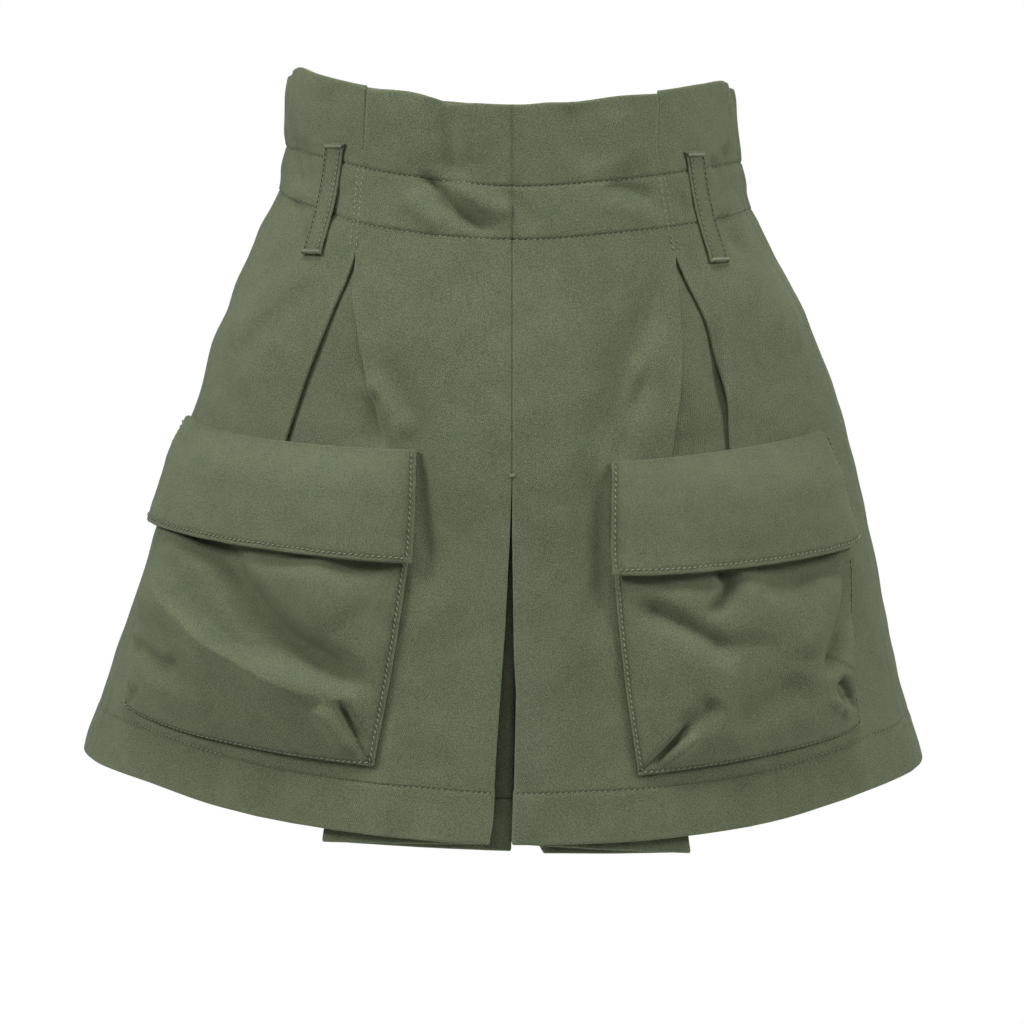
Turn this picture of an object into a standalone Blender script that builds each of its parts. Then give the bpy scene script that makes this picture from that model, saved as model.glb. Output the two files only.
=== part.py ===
"""Paper-bag waist cargo shorts, worn form: hollow cloth walls in their true shape.

X is to the viewer's right, Y runs from front to back, Z is up, in metres. The origin is
the middle of the waist, half way up the stitched casing that holds the garment up.

Every piece lies on one hollow form: at a height z its section is made of four quarter
ellipses, and the angle phi runs from the centre front (0) to the right side (+90 degrees),
the left side (-90) and the centre back (180). A point is phi, z and "out", its distance
outside the face of the cloth. A fold is a path walked across the section: it turns under,
runs back and turns again.
"""
import bpy
import bmesh
import numpy as np

# ---------------------------------------------------------------- driving dimensions
WALL = 0.0015              # panel and pocket cloth with its turnings
FLAP_WALL = 0.0024         # flap, two layers bagged out
LOOP_WALL = 0.0020         # belt loop, folded strip
SEAM_GAP = 0.0003          # clearance at every seam
LIE = SEAM_GAP + 0.0005    # what lies on a panel clears its facets by this much
SIDE_SEAM_DEG = 78.0       # side seams, a little forward of the widest place

# Outer face of the hollow form: half-widths to each side, to the front and to the back.
FORM = np.array([
    # z       left    right   front   back
    (+0.070, 0.1215, 0.1195, 0.0960, 0.0945),
    (+0.045, 0.1248, 0.1225, 0.0985, 0.0965),
    (+0.015, 0.1258, 0.1262, 0.1000, 0.0985),
    (-0.001, 0.1285, 0.1285, 0.1010, 0.1000),
    (-0.012, 0.1330, 0.1315, 0.1025, 0.1020),
    (-0.022, 0.1390, 0.1370, 0.1045, 0.1055),
    (-0.043, 0.1485, 0.1480, 0.1090, 0.1125),
    (-0.065, 0.1597, 0.1618, 0.1150, 0.1190),
    (-0.088, 0.1690, 0.1718, 0.1200, 0.1245),
    (-0.110, 0.1752, 0.1805, 0.1240, 0.1285),
    (-0.145, 0.1862, 0.1902, 0.1290, 0.1330),
    (-0.190, 0.1990, 0.2001, 0.1340, 0.1370),
    (-0.235, 0.2130, 0.2093, 0.1390, 0.1410),
    (-0.280, 0.2285, 0.2180, 0.1440, 0.1455),
    (-0.325, 0.2425, 0.2310, 0.1490, 0.1505),
    (-0.365, 0.2540, 0.2400, 0.1530, 0.1550),
])

# Heights of the lines that run round the garment, at each angle.
LINES = np.array([
    # phi    top      upper stitch  lower stitch  hem
    (-180, +0.0430, +0.0030, -0.0260, -0.3410),
    (-150, +0.0485, +0.0070, -0.0210, -0.3380),
    (-120, +0.0555, +0.0150, -0.0110, -0.3280),
    (-90, +0.0600, +0.0208, -0.0038, -0.3205),
    (-76, +0.0650, +0.0195, -0.0062, -0.3212),
    (-60, +0.0610, +0.0168, -0.0102, -0.3240),
    (-30, +0.0520, +0.0072, -0.0220, -0.3400),
    (0, +0.0450, +0.0006, -0.0278, -0.3490),
    (30, +0.0495, +0.0046, -0.0235, -0.3445),
    (60, +0.0560, +0.0099, -0.0178, -0.3300),
    (76, +0.0575, +0.0114, -0.0155, -0.3268),
    (90, +0.0530, +0.0118, -0.0145, -0.3255),
    (120, +0.0510, +0.0090, -0.0170, -0.3300),
    (150, +0.0470, +0.0050, -0.0230, -0.3370),
    (180, +0.0430, +0.0030, -0.0260, -0.3410),
])

HEM_FRONT = LINES[LINES[:, 0] == 0, 4][0]
HEM_BACK = LINES[LINES[:, 0] == 180, 4][0]

# Rows of every panel: -2 top edge, -1 upper stitching, 0 lower stitching, 1 hem.
ROWS = np.array([-2.0, -1.5, -1.0, -0.5, -0.07, 0.0, 0.02, 0.06, 0.10, 0.15, 0.20, 0.25, 0.30,
                 0.36, 0.42, 0.49, 0.57, 0.66, 0.76, 0.87, 1.0])

# Hip pleats. x is the place of each visible fold edge, turn how far the cloth turns under
# there (180 is a flat fold, 0 no fold) and depth how far it runs under.
HIP_PLEATS = {
    "left": {
        "outer": np.array([
            # z       x        turn  depth
            (+0.057, -0.0800, 180, 0.0140),
            (+0.010, -0.0815, 180, 0.0140),
            (-0.019, -0.0852, 180, 0.0140),
            (-0.032, -0.0862, 180, 0.0140),
            (-0.069, -0.0991, 180, 0.0105),
            (-0.103, -0.1126, 176, 0.0055),
            (-0.136, -0.1236, 166, 0.0028),
            (-0.160, -0.1310, 110, 0.0012),
            (-0.185, -0.1370, 45, 0.0012),
            (-0.212, -0.1420, 6, 0.0012),
            (-0.360, -0.1620, 0, 0.0012),
        ]),
        "inner": np.array([
            (+0.057, -0.0780, 180, 0.0140),
            (-0.032, -0.0840, 180, 0.0140),
            (-0.060, -0.0862, 180, 0.0120),
            (-0.080, -0.0830, 172, 0.0075),
            (-0.101, -0.0787, 130, 0.0030),
            (-0.120, -0.0740, 62, 0.0020),
            (-0.138, -0.0700, 32, 0.0012),
            (-0.170, -0.0670, 10, 0.0012),
            (-0.212, -0.0650, 2, 0.0012),
            (-0.360, -0.0720, 0, 0.0012),
        ]),
    },
    "right": {
        "outer": np.array([
            (+0.054, 0.0805, 180, 0.0140),
            (+0.006, 0.0806, 180, 0.0140),
            (-0.020, 0.0848, 180, 0.0140),
            (-0.031, 0.0889, 180, 0.0140),
            (-0.047, 0.0956, 180, 0.0125),
            (-0.069, 0.1050, 180, 0.0100),
            (-0.090, 0.1124, 178, 0.0080),
            (-0.113, 0.1176, 175, 0.0060),
            (-0.141, 0.1194, 170, 0.0035),
            (-0.165, 0.1215, 112, 0.0012),
            (-0.190, 0.1240, 45, 0.0012),
            (-0.215, 0.1265, 6, 0.0012),
            (-0.360, 0.1440, 0, 0.0012),
        ]),
        "inner": np.array([
            (+0.054, 0.0785, 180, 0.0140),
            (-0.034, 0.0880, 180, 0.0140),
            (-0.067, 0.0912, 180, 0.0120),
            (-0.091, 0.0919, 176, 0.0095),
            (-0.110, 0.0908, 168, 0.0065),
            (-0.128, 0.0882, 120, 0.0030),
            (-0.144, 0.0866, 70, 0.0020),
            (-0.175, 0.0830, 20, 0.0012),
            (-0.212, 0.0800, 2, 0.0012),
            (-0.360, 0.0880, 0, 0.0012),
        ]),
    },
}
TUCK_STEP = 0.0028         # top edge: the centre lies this much lower beside each tuck
PLEAT_BEND = 0.0033        # cloth in each turn of a fold
BEND = 0.00105             # radius of the centre fold, middle of the wall
UNDER_BEND = 0.0013        # radius of the far bend, where turn-back and underlay are seamed

# Centre-front inverted pleat: fold edges, sewn together down to the release.
CENTRE_FOLD = {
    "left": np.array([(+0.07, 0.0), (-0.155, 0.0), (-0.183, -0.0010), (-0.235, -0.0037),
                      (-0.303, -0.0085), (-0.337, -0.0105), (-0.350, -0.0128)]),
    "right": np.array([(+0.07, 0.0), (-0.183, 0.0), (-0.250, 0.0010), (-0.268, 0.0021),
                       (-0.320, 0.0010), (-0.350, 0.0002)]),
}
CENTRE_PLEAT_TOP = 0.050   # how far the pleat runs back from the centre at the casing
CENTRE_PLEAT_HEM = {"left": 0.1020, "right": 0.0955}   # and at the hem
CENTRE_SHIFT = 0.0012      # the underlay's seam lies this far right of the fold over it
SHORTEST_WALL = 0.0050     # an inner leg narrower than this is left out above the crotch
LAYER_SLOPE = 0.040        # the turned-back layer falls away inside by this much a metre
UNDER_DROP = 0.0105        # the underlay hangs this far behind the face at the centre

# Underlay and inner leg: plan positions of its front corner and of the inseam at the hem.
CROTCH_Z = -0.250
FRONT_CURVE_Z = -0.175     # the front seam leaves the centre here and curves to the crotch
BACK_CURVE_Z = -0.150
INNER_LEG = {
    # side: x of the front corner, the inseam and the back corner, hem heights
    "left": {"front": -0.0045, "inseam": +0.0010, "back": -0.0100, "hem": (-0.3505, -0.3540)},
    "right": {"front": +0.0180, "inseam": +0.0034, "back": +0.0110, "hem": (-0.3565, -0.3553)},
}
INSEAM_HEM_Z = -0.3500

# Soft folds of the front, as ridges (+) and troughs (-) along straight lines seen from the front.
SOFT_FOLDS = np.array([
    # x0      z0       x1       z1      width   height
    (-0.0395, +0.052, -0.0325, +0.004, 0.0070, -0.0026),
    (-0.0455, +0.004, -0.0150, -0.021, 0.0060, -0.0024),
    (-0.0300, +0.006, -0.0020, -0.012, 0.0080, +0.0012),
    (+0.0300, +0.046, +0.0420, +0.006, 0.0110, -0.0014),
    (-0.0770, -0.102, -0.0550, -0.133, 0.0090, +0.0024),
    (-0.0600, -0.110, -0.0430, -0.200, 0.0080, -0.0030),
    (+0.0740, -0.072, +0.0430, -0.140, 0.0110, -0.0030),
    (+0.0560, -0.096, +0.0500, -0.210, 0.0090, +0.0020),
    (-0.1080, -0.041, -0.1480, -0.083, 0.0110, +0.0028),
    (+0.1320, -0.050, +0.1600, -0.105, 0.0120, +0.0020),
])

# Elastic gathers of the back: crests from side seam to centre back, at uneven spacing.
GATHERS = 13
GATHER_OUT = 0.0024        # half the height of a gather at the casing

# Cargo pockets: rungs across each pocket from the centre side to the outer side.
POCKETS = {
    "left": np.array([
        # share  x in     z in     phi out  z out    bow
        (0.00, -0.0540, -0.1396, -82.0, -0.1265, -0.0025),
        (0.36, -0.0555, -0.1992, -77.0, -0.1842, 0.0000),
        (0.66, -0.0630, -0.2500, -72.5, -0.2330, -0.0005),
        (1.00, -0.0737, -0.3080, -67.7, -0.2874, -0.0010),
    ]),
    "right": np.array([
        (0.00, 0.0551, -0.1460, 65.2, -0.1328, -0.0012),
        (0.36, 0.0551, -0.2056, 66.4, -0.1945, -0.0017),
        (0.66, 0.0595, -0.2560, 62.0, -0.2430, -0.0010),
        (1.00, 0.0675, -0.3128, 59.2, -0.2958, -0.0008),
    ]),
}
BAG_FOLDS = {
    # across and share of each end, width and height; the left bag sags along its diagonal
    "left": np.array([
        (0.98, 0.42, 0.22, 0.88, 0.085, +0.0040),
        (0.78, 0.40, 0.12, 0.82, 0.070, -0.0040),
        (0.97, 0.72, 0.70, 0.74, 0.050, -0.0025),
    ]),
    "right": np.array([
        (0.15, 0.50, 0.50, 0.62, 0.060, -0.0030),
        (0.98, 0.42, 0.80, 0.74, 0.070, -0.0040),
        (0.45, 0.36, 0.30, 0.50, 0.060, +0.0025),
    ]),
}
FLAP_SHARE = 0.36          # part of the pocket's height that the flap covers
MOUTH_SHARE = 0.17         # the bag's mouth lies this far down, under the flap
MOUTH_OUT = 0.0085         # the mouth stands out from the panel
BAG_OUT = 0.0145           # and the bag's belly
FLAP_CLEAR = 0.0012        # between the bag's cloth and the flap over it

# Belt loops: x and z of the top and bottom end, just past the casing's two stitch lines;
# over is how far the gathers under the loop stand out.
LOOPS = {
    "front_left": {"x": (-0.0955, -0.1085), "z": (0.0235, -0.0365), "over": 0, "back": False},
    "front_right": {"x": (0.0985, 0.1125), "z": (0.0190, -0.0410), "over": 0, "back": False},
    "back_left": {"x": (-0.0720, -0.0760), "z": (0.0200, -0.0400), "over": 0.0016, "back": True},
    "back_centre": {"x": (0.0000, 0.0000), "z": (0.0180, -0.0420), "over": 0, "back": True},
    "back_right": {"x": (0.0720, 0.0760), "z": (0.0180, -0.0420), "over": 0.0015, "back": True},
}
LOOP_TAB = 0.006           # sewn-down length at each end of a loop
LOOP_WIDTH = 0.0135
LOOP_STAND = 0.0028        # a loop bows this much further off the casing's hollow

OLIVE = (0.128, 0.160, 0.098)
OLIVE_LIGHT = (0.140, 0.174, 0.106)
OLIVE_DARK = (0.112, 0.142, 0.086)

# ---------------------------------------------------------------- the hollow form


def smooth_table(at, keys, values):
    """Value at each place on a smooth curve through the rows of a table."""
    order = np.argsort(keys)
    keys, values = keys[order], values[order]
    at = np.clip(at, keys[0], keys[-1])
    slope = np.gradient(values, keys)
    i = np.clip(np.searchsorted(keys, at) - 1, 0, len(keys) - 2)
    width = keys[i + 1] - keys[i]
    u = (at - keys[i]) / width
    return ((1 + 2 * u) * (1 - u) ** 2 * values[i] + u * (1 - u) ** 2 * width * slope[i]
            + u * u * (3 - 2 * u) * values[i + 1] + u * u * (u - 1) * width * slope[i + 1])


def half_sizes(phi, z):
    """Half-width and half-depth of the form's section that hold at an angle."""
    column = [smooth_table(z, FORM[:, 0], FORM[:, k]) for k in range(1, 5)]
    wide = np.where(np.sin(phi) < 0, column[0], column[1])
    deep = np.where(np.cos(phi) > 0, column[2], column[3])
    return wide, deep


def on_form(phi, z, out):
    """Point at angle phi and height z, moved out of the cloth's face by out."""
    phi, z, out = np.broadcast_arrays(phi, z, out)
    wide, deep = half_sizes(phi, z)
    nx, ny = np.sin(phi) / wide, -np.cos(phi) / deep
    size = np.hypot(nx, ny)
    x = wide * np.sin(phi) + out * nx / size
    y = -deep * np.cos(phi) + out * ny / size
    return np.stack([x, y, z], axis=-1)


def soft_folds(x, z, folds):
    """Sum of soft ridges and troughs, each a bell across its line that fades at both ends."""
    out = np.zeros(np.broadcast(x, z).shape)
    for x0, z0, x1, z1, width, height in folds:
        length = np.hypot(x1 - x0, z1 - z0)
        along = ((x - x0) * (x1 - x0) + (z - z0) * (z1 - z0)) / length ** 2
        aside = ((x - x0) * (z1 - z0) - (z - z0) * (x1 - x0)) / length
        fade = np.clip(1.25 - np.abs(2 * along - 1), 0, 1)
        out += height * np.exp(-(aside / width) ** 2) * fade * fade * (3 - 2 * fade)
    return out


def on_panel(phi, z, out):
    """Point on the front panels, which the soft folds move in and out."""
    x = half_sizes(phi, z)[0] * np.sin(phi)
    return on_form(phi, z, out + soft_folds(x, z, SOFT_FOLDS))


def row_height(phi, row):
    """Height of a row at an angle: rows run between the top, the stitch lines and the hem."""
    degrees = np.degrees(phi)
    top, upper, lower, hem = [smooth_table(degrees, LINES[:, 0], LINES[:, k]) for k in range(1, 5)]
    frill = upper + (top - upper) * (-1 - row)
    casing = lower + (upper - lower) * -row
    leg = lower + (hem - lower) * row
    return np.where(row < -1, frill, np.where(row < 0, casing, leg))


def angle_of(x, z, back=False):
    """Angle at which the form's face has this x at this height."""
    wide = half_sizes(np.sign(x) * 0.5, z)[0]
    angle = np.arcsin(np.clip(x / wide, -1, 1))
    return np.where(x < 0, -np.pi, np.pi) - angle if back else angle


def metre_per_radian(phi, z):
    """Cloth passed along the section for each radian of phi."""
    wide, deep = half_sizes(phi, z)
    return np.hypot(wide * np.cos(phi), deep * np.sin(phi))


def edge_on_row(table, row):
    """Angle, height and the table's other columns where a fold edge crosses each row."""
    phi = np.full_like(row, np.sign(table[0, 1]) * 0.6)
    for _ in range(6):
        z = row_height(phi, row)
        phi = angle_of(smooth_table(z, table[:, 0], table[:, 1]), z)
    others = [np.interp(z, table[::-1, 0], table[::-1, k]) for k in range(2, table.shape[1])]
    return phi, z, others


# ---------------------------------------------------------------- building a wall


def fabric(name, colour):
    material = bpy.data.materials.new(name)
    material.use_nodes = True
    shader = material.node_tree.nodes["Principled BSDF"]
    shader.inputs["Base Color"].default_value = (*colour, 1.0)
    shader.inputs["Roughness"].default_value = 0.85
    shader.inputs["Metallic"].default_value = 0.0
    return material


def cloth_wall(name, points, thickness, colour, keep=None):
    """Loft a grid of points (rows x columns) into a sheet and give it a wall.

    keep marks the grid's cells that the piece has; doubled points, where a row has
    closed up to nothing, are merged first.
    """
    rows, columns = points.shape[:2]
    if keep is None:
        keep = np.ones((rows - 1, columns - 1), bool)
    corner = np.arange(rows * columns).reshape(rows, columns)
    cells = np.stack([corner[:-1, :-1], corner[:-1, 1:], corner[1:, 1:], corner[1:, :-1]], -1)[keep]
    mesh = bpy.data.meshes.new(name)
    mesh.from_pydata(points.reshape(-1, 3).tolist(), [], cells.tolist())
    sheet = bmesh.new()
    sheet.from_mesh(mesh)
    bmesh.ops.remove_doubles(sheet, verts=sheet.verts, dist=1e-5)
    bmesh.ops.dissolve_degenerate(sheet, edges=sheet.edges, dist=1e-5)
    loose = [v for v in sheet.verts if not v.link_faces]
    bmesh.ops.delete(sheet, geom=loose, context="VERTS")
    bmesh.ops.triangulate(sheet, faces=sheet.faces)
    sheet.to_mesh(mesh)
    sheet.free()
    mesh.shade_smooth()
    piece = bpy.data.objects.new(name, mesh)
    piece.data.materials.append(fabric(name, colour))
    garment.objects.link(piece)
    wall = piece.modifiers.new("wall", "SOLIDIFY")
    wall.thickness = thickness
    wall.offset = 0.0
    return piece


# ---------------------------------------------------------------- front panels


def fold_path(turn, depth):
    """A fold walked across the section, eight points for each row.

    It turns under by the angle in three steps, runs under by depth and turns back.
    Returns distance along the face and depth below it, both starting at 0.
    """
    bend = np.radians(turn)[:, None] * np.array([1, 3, 5, 6, 5, 3, 1]) / 6
    step = np.full(bend.shape, PLEAT_BEND / 3)
    step[:, 3] = depth
    along = np.cumsum(step * np.cos(bend), axis=1)
    below = np.cumsum(step * np.sin(bend), axis=1)
    start = np.zeros((len(turn), 1))
    along, below = np.hstack([start, along]), np.hstack([start, below])
    return along - along[:, :5].max(axis=1, keepdims=True), below


def leg_height(phi, row, hem):
    """Height of a leg row where the hem has its own height instead of the face's."""
    lower = smooth_table(np.degrees(phi), LINES[:, 0], LINES[:, 3])
    return lower + (hem - lower) * row


def centre_fold_x(side, z):
    """Where the centre fold's edge lies, half a seam gap from its neighbour when closed."""
    table = CENTRE_FOLD[side][::-1]
    sign = -1.0 if side == "left" else 1.0
    return np.interp(z, table[:, 0], table[:, 1]) + sign * (WALL + SEAM_GAP) / 2


def pleat_reach(side, row):
    """x at which the centre pleat turns round inside, on each row."""
    sign = -1.0 if side == "left" else 1.0
    growth = CENTRE_PLEAT_HEM[side] - CENTRE_PLEAT_TOP
    return sign * (CENTRE_PLEAT_TOP + growth * np.clip(row, 0, 1))


def turned_layer(side, row):
    """Centre turn-back: the fold's bend, the layer behind the face and half its far bend."""
    sign = -1.0 if side == "left" else 1.0
    z0 = row_height(np.zeros_like(row), row)
    edge = (centre_fold_x(side, z0) + sign * BEND)[:, None]
    far = pleat_reach(side, row)[:, None]
    x = np.hstack([edge - sign * BEND, edge - sign * BEND, edge,
                   edge + (far - edge) * 0.45, far, far + sign * UNDER_BEND * 0.866,
                   far + sign * UNDER_BEND * 0.866])
    slope = LAYER_SLOPE * np.abs(far - edge)
    below = np.hstack([np.full_like(edge, BEND * 0.5), np.full_like(edge, BEND * 1.5),
                       np.full_like(edge, BEND * 2), BEND * 2 + slope * 0.45, BEND * 2 + slope,
                       BEND * 2 + slope + UNDER_BEND * 0.5,
                       BEND * 2 + slope + UNDER_BEND - SEAM_GAP / 2])
    share = np.abs((x - edge) / (far - edge))
    hem = HEM_FRONT + (INNER_LEG[side]["hem"][0] - HEM_FRONT) * share
    phi = angle_of(x, z0[:, None])
    return phi, below, leg_height(phi, row[:, None], hem)


def front_panel(side):
    """Front from side seam to centre fold, with its hip pleat and the centre turn-back."""
    sign = -1.0 if side == "left" else 1.0
    inboard = -sign
    outer, z_outer, (turn_o, depth_o) = edge_on_row(HIP_PLEATS[side]["outer"], ROWS)
    inner, _, (turn_i, depth_i) = edge_on_row(HIP_PLEATS[side]["inner"], ROWS)
    reach = metre_per_radian(outer, z_outer)[:, None]
    closed = outer + inboard * (WALL + SEAM_GAP) / reach[:, 0]
    inner = inboard * np.maximum(inboard * inner, inboard * closed)
    along_o, below_o = fold_path(turn_o, depth_o)
    along_i, below_i = fold_path(turn_i, depth_i)
    fold_o = outer[:, None] + inboard * along_o / reach
    fold_i = (inner[:, None] - inboard * along_i / reach)[:, ::-1]
    below_i = below_i[:, ::-1]
    under = (fold_o[:, -1:] + fold_i[:, :1]) / 2
    under_below = (below_o[:, -1:] + below_i[:, :1]) / 2

    seam = np.radians(sign * SIDE_SEAM_DEG) + inboard * SEAM_GAP / 2 / reach
    side_part = seam + (fold_o[:, :1] - seam) * np.array([0, 0.28, 0.56, 0.8])
    leg_row = ROWS >= 0
    z0 = row_height(np.zeros_like(ROWS), ROWS)
    edge = centre_fold_x(side, z0) + sign * np.where(leg_row, BEND, -WALL / 2)
    centre = angle_of(edge, z0)[:, None]
    across = np.array([0.16, 0.33, 0.5, 0.67, 0.84, 1.0])
    centre_part = fold_i[:, -1:] + (centre - fold_i[:, -1:]) * across

    phi = np.hstack([side_part, fold_o, under, fold_i, centre_part])
    below = np.hstack([np.zeros_like(side_part), below_o, under_below, below_i,
                       np.zeros_like(centre_part)])
    step = np.concatenate([np.zeros(5 + 8), [0, 0, 0, 0, 0.1, 0.4, 0.8, 1.0], 1 - across])
    z = row_height(phi, ROWS[:, None]) - TUCK_STEP * step * np.clip(-1 - ROWS, 0, 1)[:, None]
    turn_phi, turn_below, turn_z = turned_layer(side, np.clip(ROWS, 0, 1))
    phi, z = np.hstack([phi, turn_phi]), np.hstack([z, turn_z])
    below = np.hstack([below, turn_below])
    points = on_panel(phi, z, -WALL / 2 - below)
    keep = np.ones((len(ROWS) - 1, points.shape[1] - 1), bool)
    keep[: np.argmax(leg_row), -turn_phi.shape[1]:] = False
    return points, keep


def inner_wall(side, corner, row, start_z, facing):
    """Inner leg from a corner behind the face to the crotch curve or the inseam.

    corner holds the corner's point on each row. The wall starts below start_z, where the
    seam curves from the centre to the crotch, and runs to the inseam below it. facing is
    +1 for the front half and -1 for the back half: each stops on its side of the inseam.
    """
    sign = -1.0 if side == "left" else 1.0
    apart = CENTRE_SHIFT + sign * (WALL + SEAM_GAP) / 2
    z = corner[:, 2]
    low = np.clip((CROTCH_Z - z) / (CROTCH_Z - INSEAM_HEM_Z), 0, 1)
    seam_x = apart + (INNER_LEG[side]["inseam"] - apart) * low
    seam_z = z + (INSEAM_HEM_Z - z[-1]) * row ** 2
    seam = np.stack([seam_x, np.full_like(z, -facing * SEAM_GAP / 2), seam_z], -1)
    drop = np.clip((start_z - z) / (start_z - CROTCH_Z), 0, 1)
    reach = 1 - np.sqrt(1 - drop ** 2)
    reach = np.where(reach * np.abs(corner[:, 1]) < SHORTEST_WALL, 0, reach)
    share = np.linspace(0, 1, 5)[None, 1:, None]
    return corner[:, None] + (seam - corner)[:, None] * reach[:, None, None] * share


def underlay(side):
    """Pleat underlay from the far bend to the centre, and the inner leg's front half."""
    sign = -1.0 if side == "left" else 1.0
    row = ROWS[ROWS >= 0]
    far = pleat_reach(side, row)[:, None]
    z0 = row_height(np.zeros_like(row), row)
    edge = (centre_fold_x(side, z0) + sign * BEND)[:, None]
    slope = LAYER_SLOPE * np.abs(far - edge)
    depth = BEND * 2 + slope
    apart = CENTRE_SHIFT + sign * (WALL + SEAM_GAP) / 2
    low = np.clip((FRONT_CURVE_Z - z0) / (FRONT_CURVE_Z - HEM_FRONT), 0, 1)
    corner_x = (apart + (INNER_LEG[side]["front"] - apart) * low)[:, None]
    run = np.array([0.0, 0.35, 0.7, 1.0])
    x = np.hstack([far + sign * UNDER_BEND * 0.866, far + sign * UNDER_BEND * 0.866,
                   far + (corner_x - far) * run])
    flat = depth + 2 * UNDER_BEND
    below = np.hstack([depth + UNDER_BEND + SEAM_GAP / 2, depth + UNDER_BEND * 1.5,
                       flat + (UNDER_DROP - flat) * run])
    share = np.abs((x - corner_x) / (far - corner_x))
    hem = INNER_LEG[side]["hem"]
    phi = angle_of(x, z0[:, None])
    z = leg_height(phi, row[:, None], hem[1] + (hem[0] - hem[1]) * share)
    points = on_panel(phi, z, -WALL / 2 - below)
    wall = inner_wall(side, points[:, -1], row, FRONT_CURVE_Z, 1)
    return np.concatenate([points, wall], axis=1)


# ---------------------------------------------------------------- back panels


def gather_wave(count):
    """Place and height of each crest and hollow of the elastic gathers along the back."""
    number = np.arange(2 * count + 1)
    place = (number + 0.28 * np.sin(2.3 * number + 0.7)) / (2 * count)
    place = (place - place[0]) / (place[-1] - place[0])
    height = np.where(number % 2 == 1, 1.0, -1.0) * (0.78 + 0.22 * np.cos(1.9 * number))
    return place, height * np.clip(np.minimum(place, 1 - place) * 12, 0, 1)


def back_panel(side):
    """Back from side seam to centre back, gathered by elastic, and the inner leg's back half."""
    sign = -1.0 if side == "left" else 1.0
    row = ROWS
    place, height = gather_wave(GATHERS)
    seam = np.radians(sign * SIDE_SEAM_DEG)
    z_seam = row_height(np.full_like(row, seam), row)
    seam = seam + sign * SEAM_GAP / 2 / metre_per_radian(seam, z_seam)
    z_back = row_height(np.full_like(row, np.pi), row)
    low = np.clip((BACK_CURVE_Z - z_back) / (BACK_CURVE_Z - HEM_BACK), 0, 1)
    apart = sign * (WALL + SEAM_GAP) / 2
    corner_x = apart + (INNER_LEG[side]["back"] - apart) * low
    corner = angle_of(corner_x, z_back, back=True)
    phi = seam[:, None] + (corner - seam)[:, None] * place
    z = row_height(phi, row[:, None])
    tight = np.interp(row, [-2, -1.2, -1, 0, 0.12, 0.3], [0.9, 0.9, 0.75, 0.75, 0.45, 0.0])
    flute = 0.006 * np.clip(row, 0, 1) ** 1.5
    out = (GATHER_OUT * tight[:, None] * height
           + flute[:, None] * np.sin(3 * np.pi * place) * np.sin(np.pi * place))
    points = on_form(phi, z, -WALL / 2 + out)
    wall = inner_wall(side, points[:, -1], np.clip(row, 0, 1), BACK_CURVE_Z, -1)
    return np.concatenate([points, wall], axis=1)


# ---------------------------------------------------------------- pockets


def pocket_place(side, across, share):
    """Angle and height of a place on a pocket: across from the centre side, share down it."""
    table = POCKETS[side]
    x_in, z_in, phi_out, z_out, bow = [
        smooth_table(share, table[:, 0], table[:, k]) for k in range(1, 6)]
    phi_in = angle_of(x_in, z_in)
    phi = phi_in + (np.radians(phi_out) - phi_in) * across
    return phi, z_in + (z_out - z_in) * across + bow * 4 * across * (1 - across)


def bag_out(side, across, share):
    """How far the bag's cloth stands out: steep at its sewn sides and bottom, full between."""
    down = np.clip((share - MOUTH_SHARE) / (1 - MOUTH_SHARE), 0, 1)
    sides = 1 - np.abs(2 * across - 1) ** 4
    belly = MOUTH_OUT + (BAG_OUT - MOUTH_OUT) * np.sin(np.clip(down * 1.3, 0, 1) * np.pi / 2)
    folds = soft_folds(across, share, BAG_FOLDS[side])
    return WALL / 2 + LIE + sides * (belly + folds) * (1 - down ** 6)


def pocket_bag(side):
    """Bellows bag: an open-topped pouch of one cloth, its sides and bottom sewn down."""
    across = (1 - np.cos(np.linspace(0, np.pi, 13))) / 2
    share = MOUTH_SHARE + (1 - MOUTH_SHARE) * np.sin(np.linspace(0, np.pi / 2, 11))
    across, share = np.meshgrid(across, share)
    phi, z = pocket_place(side, across, share)
    return on_panel(phi, z, bag_out(side, across, share))


def pocket_flap(side):
    """Flap sewn along its top edge and lying over the bag's mouth."""
    across = (1 - np.cos(np.linspace(0, np.pi, 13))) / 2
    share = FLAP_SHARE * np.array([0, 0.12, 0.3, 0.5, 0.75, 1.0])
    across, share = np.meshgrid(across, share)
    phi, z = pocket_place(side, -0.012 + 1.024 * across, share)
    rise = np.sin(np.clip(share / MOUTH_SHARE, 0, 1) * np.pi / 2)
    sewn = FLAP_WALL / 2 + LIE
    clear = (WALL + FLAP_WALL) / 2 + FLAP_CLEAR
    lift = bag_out(side, across, np.maximum(share, MOUTH_SHARE)) + clear
    return on_panel(phi, z, sewn + (lift - sewn) * rise)


# ---------------------------------------------------------------- belt loops


def belt_loop(place):
    """Folded strip sewn at both ends and standing off the casing between them."""
    x, z, back = place["x"], place["z"], place["back"]
    z_ends = np.array([z[0], z[0] - LOOP_TAB, z[1] + LOOP_TAB, z[1]])
    phi_ends = angle_of(np.interp(z_ends, [z[1], z[0]], [x[1], x[0]]), z_ends, back)
    ends = on_form(phi_ends, z_ends, LOOP_WALL / 2 + LIE + place["over"])
    along = np.linspace(0, 1, 7)[1:-1, None]
    normal = on_form(phi_ends[1:3].mean(), z_ends[1:3].mean(), 1.0)
    normal = (normal - on_form(phi_ends[1:3].mean(), z_ends[1:3].mean(), 0.0)) * np.array([1, 1, 0])
    middle = ends[1] + (ends[2] - ends[1]) * along + normal * LOOP_STAND * np.sin(np.pi * along)
    spine = np.vstack([ends[:2], middle, ends[2:]])
    across = np.array([-normal[1], normal[0], 0.0])
    offset = np.array([0.5, 0.0, -0.5])[None, :, None] * LOOP_WIDTH
    return spine[:, None, :] - offset * across


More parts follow.
